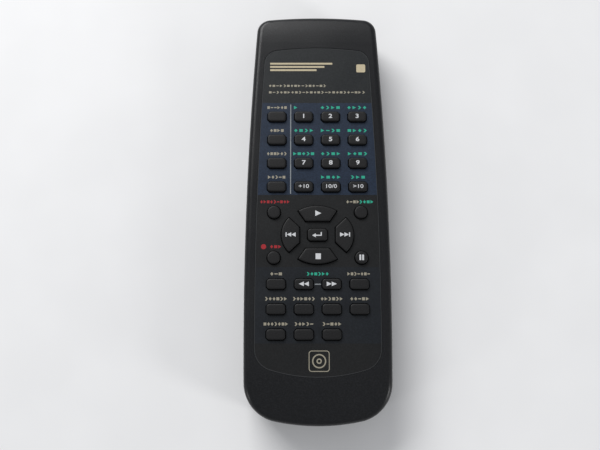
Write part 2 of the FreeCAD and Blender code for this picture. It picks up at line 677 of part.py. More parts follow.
inner_sketch = add_sketch(lower_case, "lower_inner_outline", "sizes.parting_height")
draw_case_outline(inner_sketch, "sizes.side_wall")
pocket(lower_case, inner_sketch, "sizes.parting_height - sizes.back_wall")
opening_half = "(sizes.cover_half_width + sizes.cover_clearance)"
end_sketch = add_sketch(lower_case, "cover_end_opening", "0")
draw_rectangle(end_sketch, f"-{opening_half}", opening_half, f"(-{half_length} - 1)",
               f"(-{half_length} + sizes.battery_corner_radius / 2)")
pocket(lower_case, end_sketch, "sizes.parting_height", upward=True)
shelf_sketch = add_sketch(lower_case, "cover_shelf", "sizes.back_wall / 2")
draw_rectangle(shelf_sketch, f"-{shelf_half}", shelf_half, f"(-{half_length} + sizes.battery_corner_radius / 2)",
               f"({cover_front} + sizes.latch_length + sizes.shelf_margin)")
pad(lower_case, shelf_sketch, f"{shelf_top} - sizes.back_wall / 2")
block_sketch = add_sketch(lower_case, "compartment_block", "sizes.back_wall")
draw_rectangle(block_sketch, f"-{block_half}", block_half, block_back, block_front)
pad(lower_case, block_sketch, "sizes.board_underside - sizes.back_wall")
wall_sketch = add_sketch(lower_case, "well_walls", "sizes.back_wall / 2")
for x, y in screw_places:
    draw_circle(wall_sketch, x, y, "sizes.screw_well + 2 * sizes.well_wall")
pad(lower_case, wall_sketch, f"{well_top} - sizes.back_wall / 2")
bed_sketch = add_sketch(lower_case, "cover_bed", "0")
draw_rectangle(bed_sketch, f"-{opening_half}", opening_half, f"(-{half_length} - 1)",
               f"({cover_front} + sizes.cover_clearance)")
pocket(lower_case, bed_sketch, "sizes.cover_thickness + sizes.cover_clearance", upward=True)
slot_sketch = add_sketch(lower_case, "cover_slots", "sizes.back_wall")
slot_inner = "(sizes.cover_half_width - sizes.tongue_root - sizes.cover_clearance)"
slot_front = f"({cover_front} + sizes.cover_clearance)"
draw_rectangle(slot_sketch, f"-{slot_half}", f"-{slot_inner}", f"(-{half_length} - 1)", slot_front)
draw_rectangle(slot_sketch, slot_inner, slot_half, f"(-{half_length} - 1)", slot_front)
pocket(lower_case, slot_sketch, f"{slot_top} - sizes.back_wall", upward=True)
latch_reach = "(sizes.latch_half_width + sizes.cover_clearance)"
latch_low = "(sizes.cover_thickness - sizes.tongue_thickness)"
rebate_sketch = add_sketch(lower_case, "latch_rebate", f"{latch_low} - sizes.cover_clearance")
draw_rectangle(rebate_sketch, f"-{latch_reach}", latch_reach, f"({cover_front} - 1)",
               f"({slot_front} + sizes.latch_length)")
pocket(lower_case, rebate_sketch, "sizes.tongue_thickness + 2 * sizes.cover_clearance", upward=True)
cavity_sketch = add_sketch(lower_case, "cell_cavity", "0")
draw_rectangle(cavity_sketch, f"-{compartment_half}", compartment_half, "-sizes.compartment_back", compartment_front)
pocket(lower_case, cavity_sketch, compartment_roof, upward=True)
tab_sketch = add_sketch(lower_case, "tab_slots", compartment_roof)
tab_half = "(sizes.contact_width / 4 + sizes.cover_clearance)"
tab_deep = "(2 * sizes.contact_thickness + sizes.cover_clearance)"
for side in ("-", "+"):
    middle = f"({side}sizes.cell_pitch / 2)"
    draw_rectangle(tab_sketch, f"({middle} - {tab_half})", f"({middle} + {tab_half})",
                   f"({compartment_front} - {tab_deep})", compartment_front)
pocket(lower_case, tab_sketch, f"sizes.board_underside - {compartment_roof} + 0.1", upward=True)
post_sketch = add_sketch(lower_case, "board_posts", "sizes.back_wall / 2")
post_places = (("sizes.board_front - 8", "sizes.board_front - 1"), ("0", "8"))
for side in ("-", ""):
    for low, high in post_places:
        limits = [f"{side}(sizes.board_half_width - 2.4)", f"{side}(sizes.board_half_width - 1.2)"]
        if side:
            limits.reverse()
        draw_rectangle(post_sketch, *limits, f"({low})", f"({high})")
pad(lower_case, post_sketch, "sizes.board_underside - sizes.back_wall / 2")
cradle_sketch = add_sketch(lower_case, "diode_cradle", "sizes.back_wall / 2")
diode_tip = f"({half_length} - sizes.side_wall - sizes.window_seat - sizes.window_lip_thickness)"
draw_rectangle(cradle_sketch, "-sizes.diode_diameter", "sizes.diode_diameter",
               f"({diode_tip} - 5.4)", f"({diode_tip} - 4)")
pad(lower_case, cradle_sketch, "sizes.diode_height - sizes.diode_diameter / 2 - sizes.back_wall / 2")
well_sketch = add_sketch(lower_case, "screw_wells", "0")
for x, y in screw_places:
    draw_circle(well_sketch, x, y, "sizes.screw_well")
pocket(lower_case, well_sketch, "sizes.screw_well_length", upward=True)
shank_sketch = add_sketch(lower_case, "shank_holes", "sizes.screw_well_length")
for x, y in screw_places:
    draw_circle(shank_sketch, x, y, "sizes.screw_shank + 0.4")
pocket(lower_case, shank_sketch, "sizes.well_roof + 0.1", upward=True)

# Opening for the infrared window, through both halves of the case at the emitter end
for half, low, height in ((upper_case, "sizes.parting_height", "sizes.window_high - sizes.parting_height"),
                          (lower_case, "sizes.window_low", "sizes.parting_height - sizes.window_low")):
    sketch = add_sketch(half, f"{half.Name}_window_opening", low)
    draw_rectangle(sketch, "-sizes.window_half_width", "sizes.window_half_width",
                   f"({half_length} - 2 * sizes.side_wall)", f"({half_length} + 1)")
    pocket(half, sketch, height, upward=True)

# Battery cover: slides out at the battery end, tongues in the slots of the lower case
cover_solid = new_body("cover_solid")
sheet_sketch = add_sketch(cover_solid, "cover_sheet", "0")
draw_rectangle(sheet_sketch, "-sizes.cover_half_width", "sizes.cover_half_width", f"(-{half_length} - 1)", cover_front)
pad(cover_solid, sheet_sketch, "sizes.cover_thickness")
tongue_sketch = add_sketch(cover_solid, "cover_tongues", "sizes.cover_thickness")
tongue_inner = "(sizes.cover_half_width - sizes.tongue_root)"
tongue_outer = "(sizes.cover_half_width + sizes.tongue_width)"
draw_rectangle(tongue_sketch, f"-{tongue_outer}", f"-{tongue_inner}", f"(-{half_length} - 1)", cover_front)
draw_rectangle(tongue_sketch, tongue_inner, tongue_outer, f"(-{half_length} - 1)", cover_front)
pad(cover_solid, tongue_sketch, "sizes.tongue_thickness")
latch_sketch = add_sketch(cover_solid, "cover_latch", latch_low)
draw_rectangle(latch_sketch, "-sizes.latch_half_width", "sizes.latch_half_width",
               f"({cover_front} - 1)", f"({cover_front} + sizes.latch_length)")
pad(cover_solid, latch_sketch, "sizes.tongue_thickness")
lip_sketch = add_sketch(cover_solid, "cover_end_wall", "0")
draw_rectangle(lip_sketch, "-sizes.cover_half_width", "sizes.cover_half_width", f"(-{half_length} - 1)",
               f"(-{half_length} + sizes.battery_corner_radius / 2 - sizes.cover_clearance)")
pad(cover_solid, lip_sketch, "sizes.parting_height - sizes.cover_clearance")
grip_sketch = add_sketch(cover_solid, "grip_groove", "0")
draw_rectangle(grip_sketch, "-sizes.grip_length / 2", "sizes.grip_length / 2",
               "(sizes.grip_place - sizes.grip_width / 2)", "(sizes.grip_place + sizes.grip_width / 2)")
groove = pocket(cover_solid, grip_sketch, "sizes.grip_deep", upward=True)
grooves = cover_solid.newObject("PartDesign::LinearPattern", "grip_pattern")
grooves.Originals = [groove]
grooves.Direction = (grip_sketch, ["V_Axis"])
grooves.Reversed = True
grooves.Mode = "Spacing"
grooves.setExpression("Offset", "sizes.grip_pitch")
grooves.setExpression("Occurrences", "sizes.grip_grooves")
cover_solid.Tip = grooves

# The end wall of the cover is hollow like the case beside it, above the sheet and its tongues
air_boxes = []
for name, reach, floor in (("middle", tongue_inner, "sizes.cover_thickness"),
                           ("upper", "sizes.case_half_width", "(sizes.cover_thickness + sizes.tongue_thickness)")):
    air = doc.addObject("Part::Box", f"cover_air_{name}")
    air.setExpression("Length", f"2 * {reach}")
    air.setExpression("Width", "2 * sizes.battery_corner_radius")
    air.setExpression("Height", f"sizes.parting_height - {floor}")
    air.setExpression("Placement.Base.x", f"-{reach}")
    air.setExpression("Placement.Base.y", f"-{half_length}")
    air.setExpression("Placement.Base.z", floor)
    air_boxes.append(air)
end_air = doc.addObject("Part::MultiFuse", "cover_end_air")
end_air.Shapes = air_boxes
cover_air = doc.addObject("Part::MultiCommon", "cover_air")
cover_air.Shapes = [cover_inside, end_air]
cover_skin = doc.addObject("Part::MultiCommon", "cover_skin")
cover_skin.Shapes = [cover_form, cover_solid]
battery_cover = doc.addObject("Part::Cut", "battery_cover")
battery_cover.Base = cover_skin
battery_cover.Tool = cover_air
battery_cover.Label = "battery_cover"

# Face plate: thin printed sheet with a hole for every key
face_plate = new_body("face_plate")
plate_sketch = add_sketch(face_plate, "plate_outline", recess_floor)
draw_plate_outline(plate_sketch, "0")
pad(face_plate, plate_sketch, "sizes.plate_thickness")
cut_key_holes(face_plate, plate_top, "2 * sizes.plate_thickness", "0", "sizes.key_hole_corner")

# Infrared window: smoked plastic, flush with the end of the case, with a lip behind the wall
window_core = doc.addObject("Part::Box", "window_core")
window_core.setExpression("Length", "2 * (sizes.window_half_width - sizes.window_gap)")
window_core.setExpression("Width", "2 * sizes.side_wall")
window_core.setExpression("Height", "sizes.window_high - sizes.window_low - 2 * sizes.window_gap")
window_core.setExpression("Placement.Base.x", "sizes.window_gap - sizes.window_half_width")
window_core.setExpression("Placement.Base.y", f"{half_length} - sizes.side_wall - sizes.window_seat")
window_core.setExpression("Placement.Base.z", "sizes.window_low + sizes.window_gap")
window_form = new_body("window_form")
window_sketch = add_sketch(window_form, "window_form_outline", "0")
draw_case_outline(window_sketch, "(sizes.parting_height - sizes.window_low) * tan(sizes.lower_draft)")
pad(window_form, window_sketch, "sizes.case_height")
window_face = doc.addObject("Part::MultiCommon", "window_face")
window_face.Shapes = [window_form, window_core]
window_lip = doc.addObject("Part::Box", "window_lip")
window_lip.setExpression("Length", "2 * (sizes.window_half_width + sizes.window_lip)")
window_lip.setExpression("Width", "sizes.window_lip_thickness")
window_lip.setExpression("Height", "sizes.window_high - sizes.window_low + 2 * sizes.window_lip")
window_lip.setExpression("Placement.Base.x", "-sizes.window_half_width - sizes.window_lip")
window_lip.setExpression("Placement.Base.y", f"{half_length} - sizes.side_wall - sizes.window_seat - sizes.window_lip_thickness / 2")
window_lip.setExpression("Placement.Base.z", "sizes.window_low - sizes.window_lip")
infrared_window = doc.addObject("Part::MultiFuse", "infrared_window")
infrared_window.Shapes = [window_face, window_lip]
infrared_window.Refine = True
infrared_window.Label = "infrared_window"


def add_box(name, x, y, z, length, width, height):
    """A block given by its lowest corner and its three sides, all as expressions."""
    block = doc.addObject("Part::Box", name)
    for property_name, expression in (("Length", length), ("Width", width), ("Height", height),
                                      ("Placement.Base.x", x), ("Placement.Base.y", y), ("Placement.Base.z", z)):
        block.setExpression(property_name, expression)
    return block


def add_rod(name, x, y, z, diameter, length, along=None):
    """A round bar from a point, upward or along +Y."""
    rod = doc.addObject("Part::Cylinder", name)
    if along == "Y":
        rod.Placement = Placement(Vector(0, 0, 0), Rotation(Vector(1, 0, 0), -90))
    for property_name, expression in (("Radius", f"({diameter}) / 2"), ("Height", length),
                                      ("Placement.Base.x", x), ("Placement.Base.y", y), ("Placement.Base.z", z)):
        rod.setExpression(property_name, expression)
    return rod


def join(name, pieces):
    """Fuse the pieces of one part and give it its name."""
    whole = doc.addObject("Part::MultiFuse", name)
    whole.Shapes = pieces
    whole.Refine = True
    whole.Label = name
    return whole


# Infrared diode: rim, round body and dome, with two leads bent up to the board
diode_end = f"({half_length} - sizes.side_wall - sizes.window_seat - sizes.window_lip_thickness / 2 - 0.3)"
diode_base = f"({diode_end} - sizes.diode_length)"
diode_body = add_rod("diode_body", "0", f"{diode_base}", "sizes.diode_height", "sizes.diode_diameter",
                     "sizes.diode_length - sizes.diode_diameter / 2", "Y")
diode_rim = add_rod("diode_rim_disc", "0", f"{diode_base}", "sizes.diode_height", "sizes.diode_rim", "1", "Y")
diode_dome = doc.addObject("Part::Cone", "diode_dome")
diode_dome.Placement = Placement(Vector(0, 0, 0), Rotation(Vector(1, 0, 0), -90))
diode_dome.setExpression("Radius1", "sizes.diode_diameter / 2")
diode_dome.setExpression("Radius2", "sizes.diode_diameter / 4")
diode_dome.setExpression("Height", "sizes.diode_diameter / 2")
diode_dome.setExpression("Placement.Base.y", f"{diode_end} - sizes.diode_diameter / 2")
diode_dome.setExpression("Placement.Base.z", "sizes.diode_height")
diode_pieces = [diode_body, diode_rim, diode_dome]
lead_end = "(sizes.board_front - 3)"
for name, side in (("plus", "-"), ("minus", "")):
    lead_left = f"({side}sizes.lead_pitch / 2 - sizes.lead_width / 2)"
    lead_low = "(sizes.diode_height - sizes.lead_width / 2)"
    diode_pieces.append(add_box(f"lead_{name}_run", lead_left, lead_end, lead_low, "sizes.lead_width",
                                f"{diode_base} - {lead_end} + 0.5", "sizes.lead_width"))
    diode_pieces.append(add_box(f"lead_{name}_rise", lead_left, lead_end, lead_low, "sizes.lead_width",
                                "sizes.lead_width", f"sizes.board_underside - {lead_low}"))
infrared_diode = join("infrared_diode", diode_pieces)

# Circuit board, seated on the compartment roof and the posts of the lower case
circuit_board = new_body("circuit_board")
board_sketch = add_sketch(circuit_board, "board_outline", "sizes.board_underside")
draw_rounded(board_sketch, "-sizes.board_half_width", "sizes.board_half_width",
             "-sizes.board_back", "sizes.board_front", "sizes.board_corner")
pad(circuit_board, board_sketch, "sizes.board_thickness")

# Key mat: rubber sheet on the board, with a well for each key's plunger
key_mat = new_body("key_mat")
mat_sketch = add_sketch(key_mat, "mat_outline", board_top)
draw_rounded(mat_sketch, "-sizes.mat_half_width", "sizes.mat_half_width",
             "-sizes.mat_back", "sizes.mat_front", "sizes.board_corner")
pad(key_mat, mat_sketch, "sizes.mat_thickness")
well_half_wide = "(sizes.plunger_width / 2 + sizes.well_clearance)"
well_half_deep = "(sizes.plunger_depth / 2 + sizes.well_clearance)"
for name, y, columns, rows in (("number", "sizes.number_row", 4, 4), ("cursor", "sizes.cursor_row", 4, 2),
                               ("program", "(sizes.cursor_row - 2 * sizes.row_pitch)", 3, 1)):
    sketch = add_sketch(key_mat, f"{name}_wells", mat_top)
    draw_rectangle(sketch, f"(sizes.first_column - {well_half_wide})", f"(sizes.first_column + {well_half_wide})",
                   f"({y} - {well_half_deep})", f"({y} + {well_half_deep})")
    spread(key_mat, pocket(key_mat, sketch, "2 * sizes.mat_thickness"), sketch, columns, rows)
round_half = "(sizes.round_plunger / 2 + sizes.well_clearance)"
wide_middle = "((sizes.wide_root_out + sizes.wide_crown) / 2)"
tall_middle = "((sizes.tall_root_out + sizes.tall_crown) / 2)"
cluster_sketch = add_sketch(key_mat, "cluster_wells", mat_top)
cluster_wells = [("0", "sizes.cluster_place", well_half_wide, well_half_deep)]
for sign in ("-", "+"):
    cluster_wells.append(("0", f"(sizes.cluster_place {sign} {wide_middle})", well_half_wide, well_half_deep))
    cluster_wells.append((f"({sign}{tall_middle})", "sizes.cluster_place", well_half_deep, well_half_wide))
    for row in ("-", "+"):
        cluster_wells.append((f"({sign}sizes.round_column)", f"(sizes.cluster_place {row} sizes.round_row_offset)",
                              round_half, round_half))
for x, y, half_wide, half_deep in cluster_wells:
    draw_rectangle(cluster_sketch, f"({x} - {half_wide})", f"({x} + {half_wide})",
                   f"({y} - {half_deep})", f"({y} + {half_deep})")
pocket(key_mat, cluster_sketch, "2 * sizes.mat_thickness")

# Parts soldered under the board
chip_body = add_box("chip_body", "-6", "14", "sizes.board_underside - 2.2", "12", "16", "2")
chip_pieces = [chip_body]
for leg in range(7):
    for name, x in (("left", "-7.4"), ("right", "5.8")):
        chip_pieces.append(add_box(f"chip_leg_{name}_{leg}", x, f"{15.5 + leg * 2.0}", "sizes.board_underside - 0.6",
                                   "1.6", "0.6", "0.6"))
controller_chip = join("controller_chip", chip_pieces)
resonator = join("resonator", [
    add_box("resonator_body", "-13.5", "20", "sizes.board_underside - 6", "2.6", "7", "5"),
    add_box("resonator_leg_front", "-12.45", "25", "sizes.board_underside - 1.2", "0.5", "0.5", "1.2"),
    add_box("resonator_leg_back", "-12.45", "21.5", "sizes.board_underside - 1.2", "0.5", "0.5", "1.2")])
capacitor_can = add_rod("capacitor_can", "12", "34", "sizes.board_underside - 7.2", "5", "6.4")
capacitor = join("capacitor", [
    capacitor_can,
    add_box("capacitor_leg_left", "10.75", "33.75", "sizes.board_underside - 1", "0.5", "0.5", "1"),
    add_box("capacitor_leg_right", "12.75", "33.75", "sizes.board_underside - 1", "0.5", "0.5", "1")])
transistor_round = add_rod("transistor_round", "-6", "42", "sizes.board_underside - 6.2", "4.6", "4.6")
transistor_flat = add_box("transistor_flat", "-9", "43.2", "sizes.board_underside - 7", "6", "3", "7")
transistor_body = doc.addObject("Part::Cut", "transistor_body")
transistor_body.Base = transistor_round
transistor_body.Tool = transistor_flat
driver_transistor = join("driver_transistor", [transistor_body] + [
    add_box(f"transistor_leg_{leg}", f"{-7.45 + leg * 1.2}", "41.8", "sizes.board_underside - 1.8", "0.4", "0.4", "1.8")
    for leg in range(3)])
resistor_blocks = [add_box(f"resistor_{count + 1}", f"{2 + count * 4}", "44", "sizes.board_underside - 0.6",
                           "1.6", "3.2", "0.6") for count in range(3)]
chip_resistors = doc.addObject("Part::Compound", "chip_resistors")
chip_resistors.Links = resistor_blocks
chip_resistors.Label = "chip_resistors"

# Two round cells, nose to tail, each with its raised button
left_back = "(-sizes.compartment_back + sizes.contact_thickness + sizes.spring_length)"
right_back = "(-sizes.compartment_back + sizes.contact_thickness)"
case_of_cell = "(sizes.cell_length - sizes.nub_length)"
cell_left = join("cell_left", [
    add_rod("cell_left_can", "-sizes.cell_pitch / 2", left_back, cell_level, "sizes.cell_diameter", case_of_cell, "Y"),
    add_rod("cell_left_button", "-sizes.cell_pitch / 2", f"{left_back} + {case_of_cell}", cell_level,
            "sizes.nub_diameter", "sizes.nub_length", "Y")])
cell_right = join("cell_right", [
    add_rod("cell_right_can", "sizes.cell_pitch / 2", f"{right_back} + sizes.nub_length", cell_level,
            "sizes.cell_diameter", case_of_cell, "Y"),
    add_rod("cell_right_button", "sizes.cell_pitch / 2", right_back, cell_level,
            "sizes.nub_diameter", "sizes.nub_length", "Y")])


def coil_spring(name, x, base_y, way):
    """Tapered coil of round wire from a contact plate towards a cell, as arcs of a quarter turn."""
    turns = mm("sizes.spring_turns")
    wire = mm("sizes.spring_wire")
    reach = mm("sizes.spring_length") - wire
    base_radius = (mm("sizes.spring_base") - wire) / 2
    tip_radius = (mm("sizes.spring_tip") - wire) / 2
    start = Vector(mm(x), mm(base_y) + way * wire / 3, mm(cell_level))
    quarters = round(turns * 4)

    def point(step):
        """A point of the coil, counted in quarter turns."""
        share = step / quarters
        radius = base_radius + (tip_radius - base_radius) * share
        angle = step * math.pi / 2
        return start + Vector(radius * math.cos(angle), way * reach * share, radius * math.sin(angle))

    edges = [Part.Arc(point(step), point(step + 0.5), point(step + 1)).toShape() for step in range(quarters)]
    path = Part.Wire(edges)
    tangent = edges[0].tangentAt(edges[0].FirstParameter)
    outward = Vector(1, 0, 0)
    sideways = tangent.cross(outward)
    facets = int(mm("sizes.spring_facets"))
    rim = [point(0) + (outward * math.cos(side * 2 * math.pi / facets)
                       + sideways * math.sin(side * 2 * math.pi / facets)) * wire / 2 for side in range(facets)]
    section = Part.makePolygon(rim + rim[:1])
    coil = path.makePipeShell([section], True, False)
    least = min((point(step / 8) - point(step / 8 + 4 + extra / 8)).Length
                for step in range(8 * (quarters - 4)) for extra in (-4, -2, 0, 2, 4)
                if step / 8 + 4 + extra / 8 <= quarters) - wire
    print(f"{name}: least gap between turns {least:.2f} mm")
    return coil


def add_contact(name, plates, springs):
    """Sheet contact against an end wall of the compartment, with its coils."""
    solids = []
    for x0, x1, y0, y1, z0, z1 in plates:
        low = Vector(mm(x0), mm(y0), mm(z0))
        solids.append(Part.makeBox(mm(x1) - low.x, mm(y1) - low.y, mm(z1) - low.z, low))
    for x, base_y, way in springs:
        solids.append(coil_spring(name, x, base_y, way))
    piece = doc.addObject("Part::Feature", name)
    whole = solids[0]
    for solid in solids[1:]:
        whole = whole.fuse(solid)
    piece.Shape = whole
    piece.Label = name
    return piece


contact_low = f"({cell_level} - sizes.contact_height / 2)"
contact_high = f"({cell_level} + sizes.contact_height / 2)"
half_contact = "(sizes.contact_width / 2)"
near_plate = ("-sizes.compartment_back", "(-sizes.compartment_back + sizes.contact_thickness)")
far_plate = (f"({compartment_front} - sizes.contact_thickness)", compartment_front)
left_middle, right_middle = "(-sizes.cell_pitch / 2)", "(sizes.cell_pitch / 2)"
bridge_contact = add_contact(
    "bridge_contact",
    [(f"({left_middle} - {half_contact})", f"({right_middle} + {half_contact})", *near_plate, contact_low, contact_high)],
    [(left_middle, near_plate[1], 1)])
tab_wide = "(sizes.contact_width / 4)"
negative_contact = add_contact(
    "negative_contact",
    [(f"({right_middle} - {half_contact})", f"({right_middle} + {half_contact})", *far_plate, contact_low, contact_high),
     (f"({right_middle} - {tab_wide})", f"({right_middle} + {tab_wide})", *far_plate, contact_high,
      "sizes.board_underside")],
    [(right_middle, far_plate[0], -1)])
positive_contact = add_contact(
    "positive_contact",
    [(f"({left_middle} - {half_contact})", f"({left_middle} + {half_contact})", *far_plate, contact_low, contact_high),
     (f"({left_middle} - {tab_wide})", f"({left_middle} + {tab_wide})", *far_plate, contact_high,
      "sizes.board_underside")],
    [])

# Two self-tapping screws, driven from the back into the bosses of the upper case
screw_bottom = "(sizes.screw_well_length - sizes.screw_head_thickness)"
screws = []
for index, (x, y) in enumerate(screw_places, 1):
    head = add_rod(f"screw_{index}_head", x, y, screw_bottom, "sizes.screw_head", "sizes.screw_head_thickness")
    shank = add_rod(f"screw_{index}_shank", x, y, screw_bottom, "sizes.screw_shank",
                    "sizes.screw_head_thickness + sizes.screw_length")
    screws.append(join(f"screw_{index}", [head, shank]))
case_screws = doc.addObject("Part::Compound", "case_screws")
case_screws.Links = screws
case_screws.Label = "case_screws"


def finish_key(body, cap, plunger_x, plunger_y):
    """Bevel the top of a key and add the plunger that reaches down through the mat."""
    plunger = add_sketch(body, f"{body.Name}_plunger")
    half_x, half_y = f"({plunger_x} / 2)", f"({plunger_y} / 2)"
    middle = "0"
    kind = wedge_kinds.get(body.Name)
    if kind:
        middle = f"((sizes.{kind}_root_out + sizes.{kind}_crown) / 2)"
    draw_rectangle(plunger, f"-{half_x}", half_x, f"({middle} - {half_y})", f"({middle} + {half_y})")
    pad(body, plunger, f"{flange_underside} - {plunger_end}", downward=True)
    doc.recompute()
    crown = mm(f"{plate_top} + sizes.key_rise - {flange_underside}")
    rim = edges_where(body.Tip.Shape, lambda point: abs(point.z - crown) < 0.001)
    dress(body, "Chamfer", body.Tip, rim, "sizes.key_bevel")
    return body


cap_length = f"{plate_top} + sizes.key_rise - {flange_underside}"
wedge_kinds = {"key_play": "wide", "key_stop": "wide", "key_previous": "tall", "key_next": "tall"}


def add_flange(body, sketch):
    """The flange that holds a key behind its window."""
    pad(body, sketch, "sizes.flange_thickness")


def pill_key(name, x, y, wide, deep):
    """A key with round corners, standing in a hole of the given size."""
    body = new_body(name, x, y, flange_underside)
    flange = add_sketch(body, f"{name}_flange")
    reach_x, reach_y = f"({wide} / 2 + sizes.flange_margin)", f"({deep} / 2 + sizes.flange_margin)"
    draw_rectangle(flange, f"-{reach_x}", reach_x, f"-{reach_y}", reach_y)
    add_flange(body, flange)
    cap = add_sketch(body, f"{name}_cap")
    half_x, half_y = f"({wide} / 2 - sizes.key_gap)", f"({deep} / 2 - sizes.key_gap)"
    draw_clipped(cap, f"-{half_x}", half_x, f"-{half_y}", half_y, "(sizes.key_hole_corner - sizes.key_gap / 2)")
    pad(body, cap, cap_length)
    return finish_key(body, cap, "sizes.plunger_width", "sizes.plunger_depth")


def round_key(name, side, row):
    """A small round key beside the cluster."""
    body = new_body(name, f"{side}sizes.round_column", f"sizes.cluster_place {row} sizes.round_row_offset",
                    flange_underside)
    flange = add_sketch(body, f"{name}_flange")
    reach = "(sizes.round_hole / 2 + sizes.flange_margin)"
    draw_clipped(flange, f"-{reach}", reach, f"-{reach}", reach, f"({reach} / 2)")
    add_flange(body, flange)
    cap = add_sketch(body, f"{name}_cap")
    draw_circle(cap, "0", "0", "sizes.round_hole - 2 * sizes.key_gap")
    pad(body, cap, cap_length)
    return finish_key(body, cap, "sizes.round_plunger", "sizes.round_plunger")


def wedge_key(name, kind, turn):
    """One of the four large keys of the oval cluster, turned about its middle."""
    body = new_body(name, "0", "sizes.cluster_place", flange_underside)
    body.Placement = Placement(Vector(0, 0, 0), Rotation(Vector(0, 0, 1), turn))
    body.setExpression("Placement.Base.y", "sizes.cluster_place")
    body.setExpression("Placement.Base.z", flange_underside)
    flange = add_sketch(body, f"{name}_flange")
    draw_wedge(flange, kind, "sizes.flange_margin")
    add_flange(body, flange)
    cap = add_sketch(body, f"{name}_cap")
    draw_wedge(cap, kind, "(-sizes.key_gap)")
    pad(body, cap, cap_length)
    return finish_key(body, cap, "sizes.plunger_width", "sizes.plunger_depth")


keys = []
number_names = (("edit", "1", "2", "3"), ("name", "4", "5", "6"), ("name_clip", "7", "8", "9"),
                ("fader", "plus_10", "10_0", "over_10"))
lower_names = (("a_b", "rewind", "forward", "time_skip"), ("repeat", "random", "medley", "highlight"),
               ("program", "check", "clear"))
for first_row, rows in (("sizes.number_row", number_names), ("sizes.cursor_row", lower_names)):
    for row, names in enumerate(rows):
        for column, key_name in enumerate(names):
            keys.append(pill_key(f"key_{key_name}", f"sizes.first_column + {column} * sizes.column_pitch",
                                 f"{first_row} - {row} * sizes.row_pitch",
                                 "sizes.key_hole_width", "sizes.key_hole_depth"))
keys.append(pill_key("key_enter", "0", "sizes.cluster_place", "sizes.enter_hole_width", "sizes.enter_hole_depth"))
for key_name, side, row in (("synchro", "-", "+"), ("display", "", "+"), ("record", "-", "-"), ("pause", "", "-")):
    keys.append(round_key(f"key_{key_name}", side, row))
for key_name, kind, turn in (("play", "wide", 0), ("previous", "tall", 90), ("stop", "wide", 180), ("next", "tall", 270)):
    keys.append(wedge_key(f"key_{key_name}", kind, turn))

doc.recompute()
pieces = [upper_case, lower_case, battery_cover, face_plate, infrared_window, infrared_diode, circuit_board,
          key_mat, controller_chip, resonator, capacitor, driver_transistor, chip_resistors, cell_left, cell_right,
          bridge_contact, negative_contact, positive_contact, case_screws] + keys
faults = [item.Name for item in doc.Objects if "Invalid" in item.State or "Error" in item.State]
for piece in pieces:
    if piece.Shape.isNull() or not piece.Shape.isValid() or not piece.Shape.Solids:
        faults.append(f"{piece.Name} has no sound solid")
if faults:
    raise RuntimeError("faulty: " + ", ".join(faults))
os.makedirs("parts", exist_ok=True)
for piece in pieces:
    piece.Shape.exportStep(f"parts/{piece.Label}.step")
print(f"{len(pieces)} pieces written")
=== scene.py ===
import math
import bmesh
import bpy
from mathutils import Matrix, Vector


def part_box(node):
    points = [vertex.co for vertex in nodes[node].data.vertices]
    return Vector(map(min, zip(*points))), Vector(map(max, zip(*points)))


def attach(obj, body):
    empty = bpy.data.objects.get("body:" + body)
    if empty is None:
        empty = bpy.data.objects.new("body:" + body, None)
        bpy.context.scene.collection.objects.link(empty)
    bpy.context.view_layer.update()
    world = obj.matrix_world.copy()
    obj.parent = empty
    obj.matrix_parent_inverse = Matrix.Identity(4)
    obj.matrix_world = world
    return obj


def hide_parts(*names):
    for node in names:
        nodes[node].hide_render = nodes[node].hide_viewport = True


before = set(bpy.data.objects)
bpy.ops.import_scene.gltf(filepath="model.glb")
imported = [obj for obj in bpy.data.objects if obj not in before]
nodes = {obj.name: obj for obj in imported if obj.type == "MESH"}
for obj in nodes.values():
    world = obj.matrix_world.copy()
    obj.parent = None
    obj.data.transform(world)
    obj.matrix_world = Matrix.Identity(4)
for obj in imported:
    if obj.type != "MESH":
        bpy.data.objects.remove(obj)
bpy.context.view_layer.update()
MM = 0.001


# Upper and lower case: the two halves of the handset, injection moulded in black ABS.
# A fine spark-eroded texture covers the outside. The halves meet at the seam round the middle.
# MIX_A, MIX_B and MIX_RESULT are the numbers of the colour sockets of a Mix node.
MIX_A, MIX_B, MIX_RESULT = 6, 7, 2
RELIEF_DEPTH = 0.05 * MM


